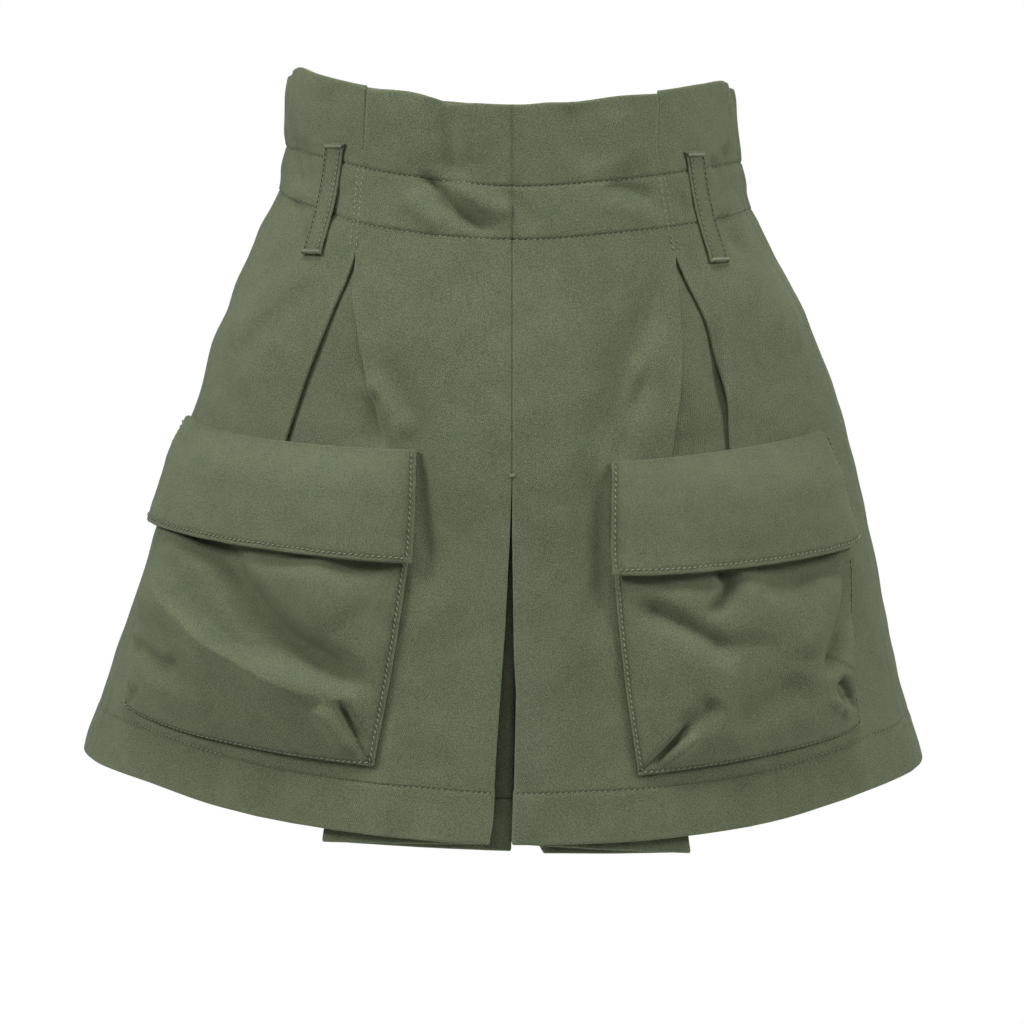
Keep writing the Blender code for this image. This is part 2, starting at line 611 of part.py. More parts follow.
# ---------------------------------------------------------------- the garment

for old in list(bpy.data.objects):
    bpy.data.objects.remove(old, do_unlink=True)
garment = bpy.data.collections.new("cargo_shorts")
bpy.context.scene.collection.children.link(garment)

for side in ("left", "right"):
    facing = slice(None, None, -1) if side == "left" else slice(None)
    back_facing = slice(None) if side == "left" else slice(None, None, -1)
    front, kept = front_panel(side)
    cloth_wall(f"front_{side}", front[:, facing], WALL, OLIVE, kept[:, facing])
    cloth_wall(f"underlay_{side}", underlay(side)[:, back_facing], WALL, OLIVE_DARK)
    cloth_wall(f"back_{side}", back_panel(side)[:, back_facing], WALL, OLIVE)
    cloth_wall(f"pocket_bag_{side}", pocket_bag(side)[:, back_facing], WALL, OLIVE_LIGHT)
    cloth_wall(f"pocket_flap_{side}", pocket_flap(side)[:, back_facing], FLAP_WALL, OLIVE_LIGHT)

for name, place in LOOPS.items():
    cloth_wall(f"belt_loop_{name}", belt_loop(place), LOOP_WALL, OLIVE_DARK)
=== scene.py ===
"""Looks of a pair of worn cargo shorts in olive cotton twill.

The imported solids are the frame. Each cloth piece is drawn again here, finer, as a thin wall on
the same hollow form, with its folds, creases, turned edges, topstitching and twill. X is to
the viewer's right, Y runs from the front to the back and Z is up, in metres, and the origin
is the middle of the waist.
"""

import bpy
import numpy as np
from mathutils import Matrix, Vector


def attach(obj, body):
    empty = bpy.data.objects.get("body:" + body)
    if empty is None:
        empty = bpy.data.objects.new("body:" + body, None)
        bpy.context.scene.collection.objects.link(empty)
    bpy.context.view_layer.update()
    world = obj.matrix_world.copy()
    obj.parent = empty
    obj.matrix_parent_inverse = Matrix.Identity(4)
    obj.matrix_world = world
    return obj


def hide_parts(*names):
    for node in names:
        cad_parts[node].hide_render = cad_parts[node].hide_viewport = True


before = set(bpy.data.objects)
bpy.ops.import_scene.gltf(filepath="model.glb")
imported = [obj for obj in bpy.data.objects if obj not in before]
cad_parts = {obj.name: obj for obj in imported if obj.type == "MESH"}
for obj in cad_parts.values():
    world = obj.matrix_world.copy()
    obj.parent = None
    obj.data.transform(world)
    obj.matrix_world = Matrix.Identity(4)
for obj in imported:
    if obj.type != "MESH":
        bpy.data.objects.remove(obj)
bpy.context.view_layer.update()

# ---------------------------------------------------------------- camera
# The garment is seen square from the front through a long lens, from just above the waist
# and tipped down to the middle of the leg.
CAMERA_PLACE = Vector((0.0, -2.45, 0.0512))
CAMERA_AIM = Vector((0.0, 0.0, -0.1848))
camera_data = bpy.data.cameras.new("camera")
camera_data.lens = 153.15
camera_data.sensor_width = 36.0
camera = bpy.data.objects.new("camera", camera_data)
camera.location = CAMERA_PLACE
camera.rotation_euler = (CAMERA_AIM - CAMERA_PLACE).to_track_quat("-Z", "Y").to_euler()
bpy.context.collection.objects.link(camera)
bpy.context.scene.camera = camera

# ---------------------------------------------------------------- twill and thread
# The cloth is a heavy cotton twill, piece-dyed olive green, matt with a short nap. Its wales
# climb at about sixty degrees; seams, stitch rows and darts are darkened in their grooves by
# painted shade, and folded edges are rubbed a little paler.
GREENER = (0.147, 0.186, 0.112)
BROWNER = (0.163, 0.180, 0.106)
CLOTH_SHADES = (0.69, 1.40)    # darkest and palest, as shares of the dyed colour
THREAD = (0.300, 0.325, 0.225)
THREAD_SHADES = (0.72, 1.28)
SHEEN = (0.80, 0.84, 0.68, 1.0)
WALE_PITCH = 0.00105           # across the wales
WALE_ANGLE = np.radians(62)


class Value:
    """A number that varies over a surface; Python's operators on it add Math nodes."""

    def __init__(self, nodes, socket):
        self.nodes = nodes
        self.socket = socket

    def math(self, operation, first, second=0.0):
        return self.nodes.node("ShaderNodeMath", {"operation": operation}, {0: first, 1: second})

    def __add__(self, other):
        return self.math("ADD", self, other)

    def __sub__(self, other):
        return self.math("SUBTRACT", self, other)

    def __rsub__(self, other):
        return self.math("SUBTRACT", other, self)

    def __mul__(self, other):
        return self.math("MULTIPLY", self, other)

    __radd__ = __add__
    __rmul__ = __mul__

    def sine(self):
        return self.math("SINE", self)


class Nodes:
    """A node tree, whose nodes are made one by one and joined by the values they are given."""

    def __init__(self, tree):
        self.tree = tree

    def node(self, kind, settings, inputs, output=0):
        made = self.tree.nodes.new(kind)
        for setting, value in settings.items():
            setattr(made, setting, value)
        for place, value in inputs.items():
            self.join(value, made.inputs[place])
        return Value(self, made.outputs[output])

    def join(self, value, socket):
        if isinstance(value, Value):
            self.tree.links.new(value.socket, socket)
        else:
            socket.default_value = value

    def noise(self, place, scale, detail):
        """Unevenness about 0.5, whose largest spots are 1 / scale wide."""
        return self.node("ShaderNodeTexNoise", {},
                         {"Vector": place, "Scale": scale, "Detail": detail})

    def mix(self, share, first, second):
        """Colour between two colours."""
        return self.node("ShaderNodeMix", {"data_type": "RGBA"},
                         {0: share, 6: first, 7: second}, 2)

    def shaded(self, tone, colour, shades):
        """The colour as dark as tone says, between two shares of itself."""
        dark, pale = [(*(share * c for c in colour), 1.0) for share in shades]
        return self.mix(tone, dark, pale)


class Dye(Nodes):
    """A material's nodes, with its shader, which surface() gives its values by name."""

    def __init__(self, name):
        self.material = bpy.data.materials.new(name)
        self.material.use_nodes = True
        super().__init__(self.material.node_tree)
        self.shader = self.tree.nodes["Principled BSDF"]

    def surface(self, settings):
        for place, value in settings.items():
            self.join(value, self.shader.inputs[place])


def twill(name):
    """Olive twill on the cloth's own UV map, whose unit is a metre of cloth.

    Its tone is 0.5 with the unevenness of dye, slubs, yarn, nap and wales added, each about its
    own middle and by its own strength, less by painted shade in the grooves, more on rubbed edges.
    """
    dye = Dye(name)
    cloth_uv = dye.node("ShaderNodeUVMap", {"uv_map": "cloth"}, {})
    place = dye.node("ShaderNodeTexCoord", {}, {}, "Object")
    across = dye.node("ShaderNodeSeparateXYZ", {}, {0: cloth_uv}, 0)
    down = dye.node("ShaderNodeSeparateXYZ", {}, {0: cloth_uv}, 1)
    groove_shade = dye.node("ShaderNodeAttribute", {"attribute_name": "groove_shade"}, {}, "Fac")
    rubbed = dye.node("ShaderNodeAttribute", {"attribute_name": "rubbed"}, {}, "Fac")

    mottle = dye.noise(place, 14.0, 3.0)
    patch = dye.noise(place, 70.0, 3.0)
    drawn_out = {"Vector": cloth_uv, "Scale": (1100.0, 160.0, 1.0)}
    slub = dye.noise(dye.node("ShaderNodeMapping", {}, drawn_out), 1.0, 2.0)
    yarn = dye.noise(cloth_uv, 1900.0, 1.0)
    nap = dye.noise(place, 1500.0, 1.0)

    turn = 2 * np.pi / WALE_PITCH
    slant = across * (turn * np.sin(WALE_ANGLE)) + down * (turn * np.cos(WALE_ANGLE))
    wale = (slant + yarn * 2.5).sine()

    tone = (0.5 + (mottle - 0.5) * 0.50 + (patch - 0.5) * 0.45 + (slub - 0.5) * 0.34
            + (yarn - 0.5) * 2.50 + (nap - 0.5) * 2.30 + wale * 0.16)
    # painted shade darkens seam, stitch and dart grooves; rubbed edges are worn paler
    tone = tone - groove_shade * 0.50 + rubbed * 0.30
    colour = dye.mix(0.5 + (patch - 0.5) * 1.5, dye.shaded(tone, GREENER, CLOTH_SHADES),
                     dye.shaded(tone, BROWNER, CLOTH_SHADES))
    relief = wale * 0.40 + yarn * 1.8 + nap * 2.6
    weave = {"Height": relief, "Strength": 0.6, "Distance": 0.00020}
    dye.surface({
        "Base Color": colour,
        "Roughness": 0.86 + (nap - 0.5) * 0.22 - rubbed * 0.05,
        "Normal": dye.node("ShaderNodeBump", {}, weave),
        "Specular IOR Level": 0.22,
        "Sheen Weight": 0.16,
        "Sheen Roughness": 0.45,
        "Sheen Tint": SHEEN,
    })
    return dye.material


def thread(name):
    """Twisted sewing thread, a shade paler than the cloth, with a faint lustre."""
    dye = Dye(name)
    place = dye.node("ShaderNodeTexCoord", {}, {}, "Object")
    ply = dye.noise(place, 700.0, 2.0)
    length = dye.noise(place, 30.0, 2.0)
    dye.surface({
        "Base Color": dye.shaded(ply * 0.6 + length * 0.4, THREAD, THREAD_SHADES),
        "Roughness": 0.52 + ply * 0.2,
        "Specular IOR Level": 0.4,
    })
    return dye.material


twill_cloth = twill("olive twill")
thread_material = thread("olive thread")

# ---------------------------------------------------------------- the worn form
# As worn, the cloth is a hollow form that flares from the waist to the hem. A section at height
# z is four quarter ellipses; phi runs from the centre front (0) to the right side (90) and the left
# side (-90). "out" is the distance outside the face of the cloth.
FORM = np.array([
    # z       left    right   front   back
    (+0.070, 0.1215, 0.1195, 0.0960, 0.0945),
    (+0.045, 0.1248, 0.1225, 0.0985, 0.0965),
    (+0.015, 0.1258, 0.1262, 0.1000, 0.0985),
    (-0.001, 0.1285, 0.1285, 0.1010, 0.1000),
    (-0.012, 0.1330, 0.1315, 0.1025, 0.1020),
    (-0.022, 0.1390, 0.1370, 0.1045, 0.1055),
    (-0.043, 0.1485, 0.1480, 0.1090, 0.1125),
    (-0.065, 0.1597, 0.1618, 0.1150, 0.1190),
    (-0.088, 0.1690, 0.1718, 0.1200, 0.1245),
    (-0.110, 0.1752, 0.1805, 0.1240, 0.1285),
    (-0.145, 0.1862, 0.1902, 0.1290, 0.1330),
    (-0.190, 0.1990, 0.2001, 0.1340, 0.1370),
    (-0.235, 0.2130, 0.2093, 0.1390, 0.1410),
    (-0.280, 0.2285, 0.2180, 0.1440, 0.1455),
    (-0.325, 0.2425, 0.2310, 0.1490, 0.1505),
    (-0.365, 0.2540, 0.2400, 0.1530, 0.1550),
])
SIDES = {"left": -1.0, "right": 1.0}


def smooth_table(at, keys, values):
    """Value at each place on a cubic curve through the rows of a table."""
    order = np.argsort(keys)
    keys, values = keys[order], values[order]
    at = np.clip(at, keys[0], keys[-1])
    slope = np.gradient(values, keys)
    i = np.clip(np.searchsorted(keys, at) - 1, 0, len(keys) - 2)
    width = keys[i + 1] - keys[i]
    u = (at - keys[i]) / width
    return ((1 + 2 * u) * (1 - u) ** 2 * values[i] + u * (1 - u) ** 2 * width * slope[i]
            + u * u * (3 - 2 * u) * values[i + 1] + u * u * (u - 1) * width * slope[i + 1])


def half_sizes(phi, z):
    """Half-width and half-depth of the section that hold at an angle."""
    left, right, front, back = [smooth_table(z, FORM[:, 0], FORM[:, k]) for k in range(1, 5)]
    return np.where(np.sin(phi) < 0, left, right), np.where(np.cos(phi) > 0, front, back)


def on_form(phi, z, out):
    """The ellipse's point at phi and z, moved along the ellipse's own normal by out."""
    phi, z, out = np.broadcast_arrays(phi, z, out)
    wide, deep = half_sizes(phi, z)
    nx, ny = np.sin(phi) / wide, -np.cos(phi) / deep
    size = np.hypot(nx, ny)
    x = wide * np.sin(phi) + out * nx / size
    y = -deep * np.cos(phi) + out * ny / size
    return np.stack([x, y, z], axis=-1)


def angle_of(x, z, back=False):
    """Angle at which the form's face has this x at this height."""
    wide = half_sizes(np.sign(x) * 0.5, z)[0]
    angle = np.arcsin(np.clip(x / wide, -1, 1))
    return np.where(x < 0, -np.pi, np.pi) - angle if back else angle


def metre_per_radian(phi, z):
    """Cloth passed along the section for each radian of phi."""
    wide, deep = half_sizes(phi, z)
    return np.hypot(wide * np.cos(phi), deep * np.sin(phi))


def smooth_step(t):
    """0 below 0, 1 above 1, a smooth rise between."""
    t = np.clip(t, 0, 1)
    return t * t * (3 - 2 * t)


CREASE_STEP = 0.0016       # distance of the places worked out along a crease
CREASE_FADE = 0.28         # share of a crease's length over which each end fades
CREASE_END = 0.12          # how far up that fade its tips start


def creased(x, z, creases):
    """Sum of creases, each height * exp(-(distance / width)^2) from a curve on the cloth.

    The width differs on the curve's two sides (the left one looking along it first), so a
    crease can be sharp on one side and run out softly on the other; the height fades over
    the last stretch at both ends.
    """
    out = np.zeros(np.broadcast(x, z).shape)
    for places, (wide_left, wide_right), height in creases:
        places = np.array(places)
        run = np.concatenate([[0], np.cumsum(np.hypot(*np.diff(places, axis=0).T))])
        steps = np.linspace(0, run[-1], int(run[-1] / CREASE_STEP) + 4)
        curve = np.stack([smooth_table(steps, run, places[:, k]) for k in (0, 1)], -1)
        reach = 2.6 * max(wide_left, wide_right)
        low, high = curve.min(0) - reach, curve.max(0) + reach
        near = (x > low[0]) & (x < high[0]) & (z > low[1]) & (z < high[1])
        at = np.stack([x[near], z[near]], -1)
        apart = at[:, None] - curve
        nearest = np.argmin((apart ** 2).sum(-1), axis=1)
        tangent = np.gradient(curve, axis=0)
        tangent /= np.linalg.norm(tangent, axis=1, keepdims=True)
        tangent, apart = tangent[nearest], apart[np.arange(len(at)), nearest]
        aside = tangent[:, 0] * apart[:, 1] - tangent[:, 1] * apart[:, 0]
        beyond = (tangent * apart).sum(-1)
        wide = np.where(aside > 0, wide_left, wide_right)
        along = np.minimum(nearest, len(steps) - 1 - nearest) / (len(steps) - 1)
        fade = smooth_step(along / CREASE_FADE + CREASE_END)
        fade *= np.exp(-(beyond / max(wide_left, wide_right)) ** 2)
        out[near] += height * np.exp(-(aside / wide) ** 2) * fade
    return out


def rumple(a, b, length, seed):
    """Uneven rise and fall between about -1 and 1: twelve plane waves of mixed directions."""
    chance = np.random.default_rng(seed)
    waves = 12
    turn = chance.uniform(0, np.pi, waves)
    pace = 2 * np.pi / (length * chance.uniform(0.7, 1.9, waves))
    start = chance.uniform(0, 2 * np.pi, waves)
    total = sum(np.sin(p * (a * np.cos(t) + b * np.sin(t)) + s)
                for t, p, s in zip(turn, pace, start))
    return total / np.sqrt(2 * waves)


# ---------------------------------------------------------------- sewing and cutting cloth
# Every piece is cut from the same twill, 1.2 mm thick with its turnings and thicker where a
# hem is turned up, and topstitched in lockstitch rows of about three stitches to a
# centimetre. The helpers here lay out a piece's wall and its stitches.
PLY = 0.0012
HEM_PLY = 0.0021
WALL = 0.0015              # the solids' wall, whose middle the cloth follows
STITCH_PITCH = 0.0030
STITCH_LENGTH = 0.0022
STITCH_SLANT = 22.0        # degrees that a stitch is turned from its row by the thread's twist
STITCH_LIFT = 0.00012      # how far a row of stitches stands off the cloth's face
STITCH_REACH = 0.0008      # cloth on each side of a stitch that gives the row's direction there
THREAD_RADIUS = 0.00038
WALL_STEPS = 40            # steps of thickness in a piece's wall
ROUND_OVER = 0.0012        # how far from a cut or folded edge the wall grows to its full size
GROOVE_WIDTH = 0.0011      # how wide a row of stitches draws the cloth in
MERGED_WITHIN = 1e-5


def cloth_uv(points, column):
    """Metres of cloth along each row from one column, and down that column."""
    step = np.linalg.norm(np.diff(points, axis=1), axis=-1)
    across = np.concatenate([np.zeros((len(points), 1)), np.cumsum(step, axis=1)], axis=1)
    across -= across[:, column:column + 1]
    fall = np.linalg.norm(np.diff(points[:, column], axis=0), axis=-1)
    down = np.concatenate([[0], np.cumsum(fall)])
    return np.stack([across, np.broadcast_to(-down[:, None], across.shape)], -1)


def cloth_piece(name, points, thickness, uv, groove_shade, rubbed, keep=None):
    """Mesh of a grid of points (rows x columns) given a wall by Solidify.

    Points that fall together are merged first. thickness, the grooves' painted shade and the
    rubbed wear are values on the grid; keep marks the cells that the piece has.
    """
    rows, columns = points.shape[:2]
    corner = np.arange(rows * columns).reshape(rows, columns)
    cells = np.stack([corner[:-1, :-1], corner[:-1, 1:], corner[1:, 1:], corner[1:, :-1]], -1)
    cells = cells.reshape(-1, 4) if keep is None else cells[keep]
    _, first, merged = np.unique(np.round(points.reshape(-1, 3) / MERGED_WITHIN), axis=0,
                                 return_index=True, return_inverse=True)
    cells = merged.reshape(-1)[cells]
    used, cells = np.unique(cells, return_inverse=True)
    first, cells = first[used], cells.reshape(-1, 4)
    double = np.any(cells == np.roll(cells, 1, axis=1), axis=1)
    faces = cells[~double].tolist()
    faces += [f for f in (list(dict.fromkeys(c)) for c in cells[double].tolist()) if len(f) > 2]
    mesh = bpy.data.meshes.new(name)
    mesh.from_pydata(points.reshape(-1, 3)[first].tolist(), [], faces)
    loops = np.empty(len(mesh.loops), int)
    mesh.loops.foreach_get("vertex_index", loops)
    mesh.uv_layers.new(name="cloth").data.foreach_set("uv", uv.reshape(-1, 2)[first][loops].ravel())
    for label, values in (("groove_shade", groove_shade), ("rubbed", rubbed)):
        values = np.broadcast_to(values, (rows, columns)).reshape(-1)[first]
        mesh.attributes.new(label, "FLOAT", "POINT").data.foreach_set("value", values)
    mesh.shade_smooth()
    mesh.materials.append(twill_cloth)
    piece = bpy.data.objects.new(name, mesh)
    bpy.context.collection.objects.link(piece)
    thickness = np.broadcast_to(thickness, (rows, columns)).reshape(-1)[first]
    share = np.round(thickness / thickness.max() * WALL_STEPS).astype(int)
    wall = piece.vertex_groups.new(name="wall")
    for step in np.unique(share):
        wall.add(np.nonzero(share == step)[0].tolist(), step / WALL_STEPS, "REPLACE")
    solidify = piece.modifiers.new("wall", "SOLIDIFY")
    solidify.thickness = thickness.max()
    solidify.offset = 0.0
    solidify.vertex_group = "wall"
    return piece


def grid_normals(points):
    """Unit normals of a grid, on the side from which its faces are seen."""
    normal = np.cross(np.gradient(points, axis=1), np.gradient(points, axis=0))
    return normal / np.maximum(np.linalg.norm(normal, axis=-1, keepdims=True), 1e-12)


def stitch_run(line, normals, lift, pitch=STITCH_PITCH, slant=STITCH_SLANT):
    """Places, directions and normals of the stitches along a line on the cloth.

    The stitches are evenly spread along the line, lifted from it by lift and turned by slant
    degrees from the line's own direction there.
    """
    run = np.concatenate([[0], np.cumsum(np.linalg.norm(np.diff(line, axis=0), axis=1))])
    count = int(run[-1] / pitch)
    at = (np.arange(count) + 0.5) * run[-1] / max(count, 1)
    place = np.stack([np.interp(at, run, line[:, k]) for k in range(3)], -1)
    ahead = np.stack([np.interp(at + STITCH_REACH, run, line[:, k]) for k in range(3)], -1)
    behind = np.stack([np.interp(at - STITCH_REACH, run, line[:, k]) for k in range(3)], -1)
    normal = np.stack([np.interp(at, run, normals[:, k]) for k in range(3)], -1)
    normal /= np.linalg.norm(normal, axis=1, keepdims=True)
    along = ahead - behind
    along /= np.linalg.norm(along, axis=1, keepdims=True)
    side = np.cross(normal, along)
    along = along * np.cos(np.radians(slant)) + side * np.sin(np.radians(slant))
    return place + normal * lift, along, normal


def stitching(name, runs):
    """One mesh of all the stitches of a piece: slim spindles that bow out of the cloth.

    A stitch is a spindle of three rings of six points and two tips; ring k lies at
    0.7 * k of its half-length, and its middle stands a thread's radius above its tips.
    """
    place, along, normal = [np.concatenate(part) for part in zip(*runs)]
    side = np.cross(normal, along)
    ring = np.arange(6) * np.pi / 3
    a = np.concatenate([[-1.0], np.repeat([-0.7, 0.0, 0.7], 6), [1.0]])
    r = np.concatenate([[0.0], np.repeat([0.75, 1.0, 0.75], 6), [0.0]]) * THREAD_RADIUS
    turn = np.concatenate([[0.0], np.tile(ring, 3), [0.0]])
    lift = THREAD_RADIUS * (1 - a * a) * 1.1
    points = (place[:, None] + along[:, None] * (a * STITCH_LENGTH / 2)[:, None]
              + side[:, None] * (r * np.cos(turn))[:, None]
              + normal[:, None] * (r * np.sin(turn) + lift)[:, None])
    first = [[0, 1 + (k + 1) % 6, 1 + k] for k in range(6)]
    last = [[19, 13 + k, 13 + (k + 1) % 6] for k in range(6)]
    band = [[1 + 6 * j + k, 1 + 6 * j + (k + 1) % 6, 7 + 6 * j + (k + 1) % 6, 7 + 6 * j + k]
            for j in range(2) for k in range(6)]
    base = 20 * np.arange(len(place))[:, None, None]
    faces = [f for group in (first + last, band) for f in (base + np.array(group)).reshape(
        -1, len(group[0])).tolist()]
    mesh = bpy.data.meshes.new(name)
    mesh.from_pydata(points.reshape(-1, 3).tolist(), [], faces)
    mesh.shade_smooth()
    mesh.materials.append(thread_material)
    piece = bpy.data.objects.new(name, mesh)
    bpy.context.collection.objects.link(piece)
    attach(piece, "root")
    return piece


def edge_round(distance):
    """Share of full thickness near a cut or folded edge, so that the edge looks rounded."""
    return 0.45 + 0.55 * np.sqrt(np.clip(distance / ROUND_OVER, 0, 1))


def stitch_groove(distance):
    """How deep the cloth is drawn in beside a row of stitches, by distance from it."""
    return np.exp(-(distance / GROOVE_WIDTH) ** 2)


# ---------------------------------------------------------------- fronts
# Each front is one piece from the side seam to the centre fold, cut in one with the frill, the
# casing, an inverted hip pleat and the turned-back half of the centre pleat. The casing's two
# rows and the hem are topstitched; the frill and the hem are double.
LINES = np.array([
    # phi    top      upper stitch  lower stitch  hem
    (-180, +0.0430, +0.0030, -0.0260, -0.3410),
    (-150, +0.0485, +0.0070, -0.0210, -0.3380),
    (-120, +0.0555, +0.0150, -0.0110, -0.3280),
    (-90, +0.0600, +0.0208, -0.0038, -0.3205),
    (-76, +0.0650, +0.0195, -0.0062, -0.3212),
    (-60, +0.0610, +0.0168, -0.0102, -0.3240),
    (-30, +0.0520, +0.0072, -0.0220, -0.3400),
    (0, +0.0450, +0.0006, -0.0278, -0.3490),
    (30, +0.0495, +0.0046, -0.0235, -0.3445),
    (60, +0.0560, +0.0099, -0.0178, -0.3300),
    (76, +0.0575, +0.0114, -0.0155, -0.3268),
    (90, +0.0530, +0.0118, -0.0145, -0.3255),
    (120, +0.0510, +0.0090, -0.0170, -0.3300),
    (150, +0.0470, +0.0050, -0.0230, -0.3370),
    (180, +0.0430, +0.0030, -0.0260, -0.3410),
])
SIDE_SEAM_DEG = 78.0
HEM_FRONT, HEM_BACK = -0.3490, -0.3410
FRILL, CASING, LEG = 0.047, 0.029, 0.318   # mean height of each stretch of rows
HEM_ROW = 1 - 0.027 / LEG                  # row of the hem's stitching

# Hip pleats: place of each visible fold edge, how far the cloth turns under and how far it runs.
HIP_PLEATS = {
    "left": {
        "outer": np.array([
            # z       x        turn  depth
            (+0.057, -0.0800, 180, 0.0140), (+0.010, -0.0815, 180, 0.0140),
            (-0.019, -0.0840, 180, 0.0140), (-0.038, -0.0862, 180, 0.0140),
            (-0.069, -0.0991, 180, 0.0105), (-0.103, -0.1126, 176, 0.0055),
            (-0.136, -0.1236, 166, 0.0028), (-0.160, -0.1310, 110, 0.0012),
            (-0.185, -0.1370, 45, 0.0012), (-0.212, -0.1420, 6, 0.0012),
            (-0.360, -0.1620, 0, 0.0012),
        ]),
        "inner": np.array([
            (+0.057, -0.0780, 180, 0.0140), (-0.038, -0.0848, 180, 0.0140),
            (-0.060, -0.0862, 180, 0.0120), (-0.080, -0.0830, 172, 0.0075),
            (-0.101, -0.0787, 130, 0.0030), (-0.120, -0.0740, 62, 0.0020),
            (-0.138, -0.0700, 32, 0.0012), (-0.170, -0.0670, 10, 0.0012),
            (-0.212, -0.0650, 2, 0.0012), (-0.360, -0.0720, 0, 0.0012),
        ]),
    },
    "right": {
        "outer": np.array([
            (+0.054, 0.0805, 180, 0.0140), (+0.006, 0.0806, 180, 0.0140),
            (-0.020, 0.0856, 180, 0.0140), (-0.0385, 0.0900, 180, 0.0140),
            (-0.050, 0.0952, 180, 0.0125), (-0.069, 0.1050, 180, 0.0100),
            (-0.090, 0.1124, 178, 0.0080), (-0.113, 0.1176, 175, 0.0060),
            (-0.141, 0.1194, 170, 0.0035), (-0.165, 0.1215, 112, 0.0012),
            (-0.190, 0.1240, 45, 0.0012), (-0.215, 0.1265, 6, 0.0012),
            (-0.360, 0.1440, 0, 0.0012),
        ]),
        "inner": np.array([
            (+0.054, 0.0785, 180, 0.0140), (-0.0385, 0.0888, 180, 0.0140),
            (-0.067, 0.0912, 180, 0.0120), (-0.091, 0.0919, 176, 0.0095),
            (-0.110, 0.0908, 168, 0.0065), (-0.128, 0.0882, 120, 0.0030),
            (-0.144, 0.0866, 70, 0.0020), (-0.175, 0.0830, 20, 0.0012),
            (-0.212, 0.0800, 2, 0.0012), (-0.360, 0.0880, 0, 0.0012),
        ]),
    },
}
TUCK_STEP = 0.0016         # top edge: the centre lies this much lower beside each tuck
TUCK_INSIDE = {"left": 0.70, "right": 1.10}    # share of the step that the hidden layers take
TUCK_LAP = -0.0011         # the fold edges meet flush where the casing holds them down
TUCK_HELD = (-1.04, 0.040)     # rows between which they do, which are also stitched through
TUCK_FREE = (-1.3, 0.055)      # rows at which they lie a ply apart again
TUCK_STITCHED = (-1, 0.045)
TUCK_STITCH_PITCH, TUCK_STITCH_LIFT = 0.0034, 0.00005
FRILL_WAVES = [            # the top edge's dips and rises: place along the cloth, width, height
    (-0.0600, 0.016, +0.0018), (-0.0340, 0.009, -0.0020), (0.0640, 0.022, +0.0014),
    (0.0200, 0.010, +0.0009),
]
PLEAT_BEND = 0.0020        # cloth in each turn of a fold
SEAM_GAP = 0.0003
EDGE_GAP = 0.00003         # half the gap where two cut edges meet in a seam
BEND = (0.00066, 0.00108)  # radius of the centre fold in the leg and in the double hem
UNDER_BEND = 0.0013        # radius of the far bend, where turn-back and underlay are seamed
CENTRE_FOLD = {
    "left": np.array([(+0.07, 0.0), (-0.155, 0.0), (-0.183, -0.0010), (-0.235, -0.0037),
                      (-0.303, -0.0085), (-0.337, -0.0105), (-0.350, -0.0128)]),
    "right": np.array([(+0.07, 0.0), (-0.183, 0.0), (-0.250, 0.0010), (-0.268, 0.0021),
                       (-0.320, 0.0010), (-0.350, 0.0002)]),
}
CENTRE_PLEAT_TOP = 0.050   # depth of the centre pleat at the casing, and at the hem
CENTRE_PLEAT_HEM = {"left": 0.1020, "right": 0.0955}
LAYER_SLOPE = 0.040        # how much further behind the face it lies for each metre from its fold
UNDER_DROP = 0.0105        # how far behind the face the underlay is at the middle
SEWN_APART = 0.00062       # half the distance of two layers sewn face to face
CENTRE_SHIFT = 0.0040      # the seam behind the slit lies this far to the viewer's right
INNER_LEG = {
    # x of the front corner, the inseam and the back corner, and two hem heights
    "left": {"front": -0.0015, "inseam": +0.0010, "back": -0.0100, "hem": (-0.3505, -0.3540)},
    "right": {"front": +0.0180, "inseam": +0.0034, "back": +0.0110, "hem": (-0.3565, -0.3553)},
}
SIDE_WIDE, CENTRE_WIDE = 0.10, 0.09            # of a front's parts beside its hip pleat
FRILL_RADIUS, HIP_RADIUS = 0.125, 0.135        # cloth passed for each radian, on the whole
FRONT_UNEVEN = (0.00045, 0.00016)              # rise and fall of long and of short waves
SEAM_FADE = 7.0            # degrees from the side seam over which creases grow
GROOVE_DEPTH = 0.00075     # of a stitch row over the casing or the hem
SEAM_DEPTH = 0.00050
SIDE_SEAM_SHARE = 0.4      # the side seam's groove against the centre seam's
# strength of the painted shade along a seam's groove, against a stitch row's
SEAM_SHADE = 0.8
PUCKER = 0.00032           # rise and fall that the thread's pull gives the cloth beside a row
PUCKER_REACH = 0.0060
CASING_FULL = 0.0007       # how far the casing swells between its rows
EDGE_WEAR = 0.0016

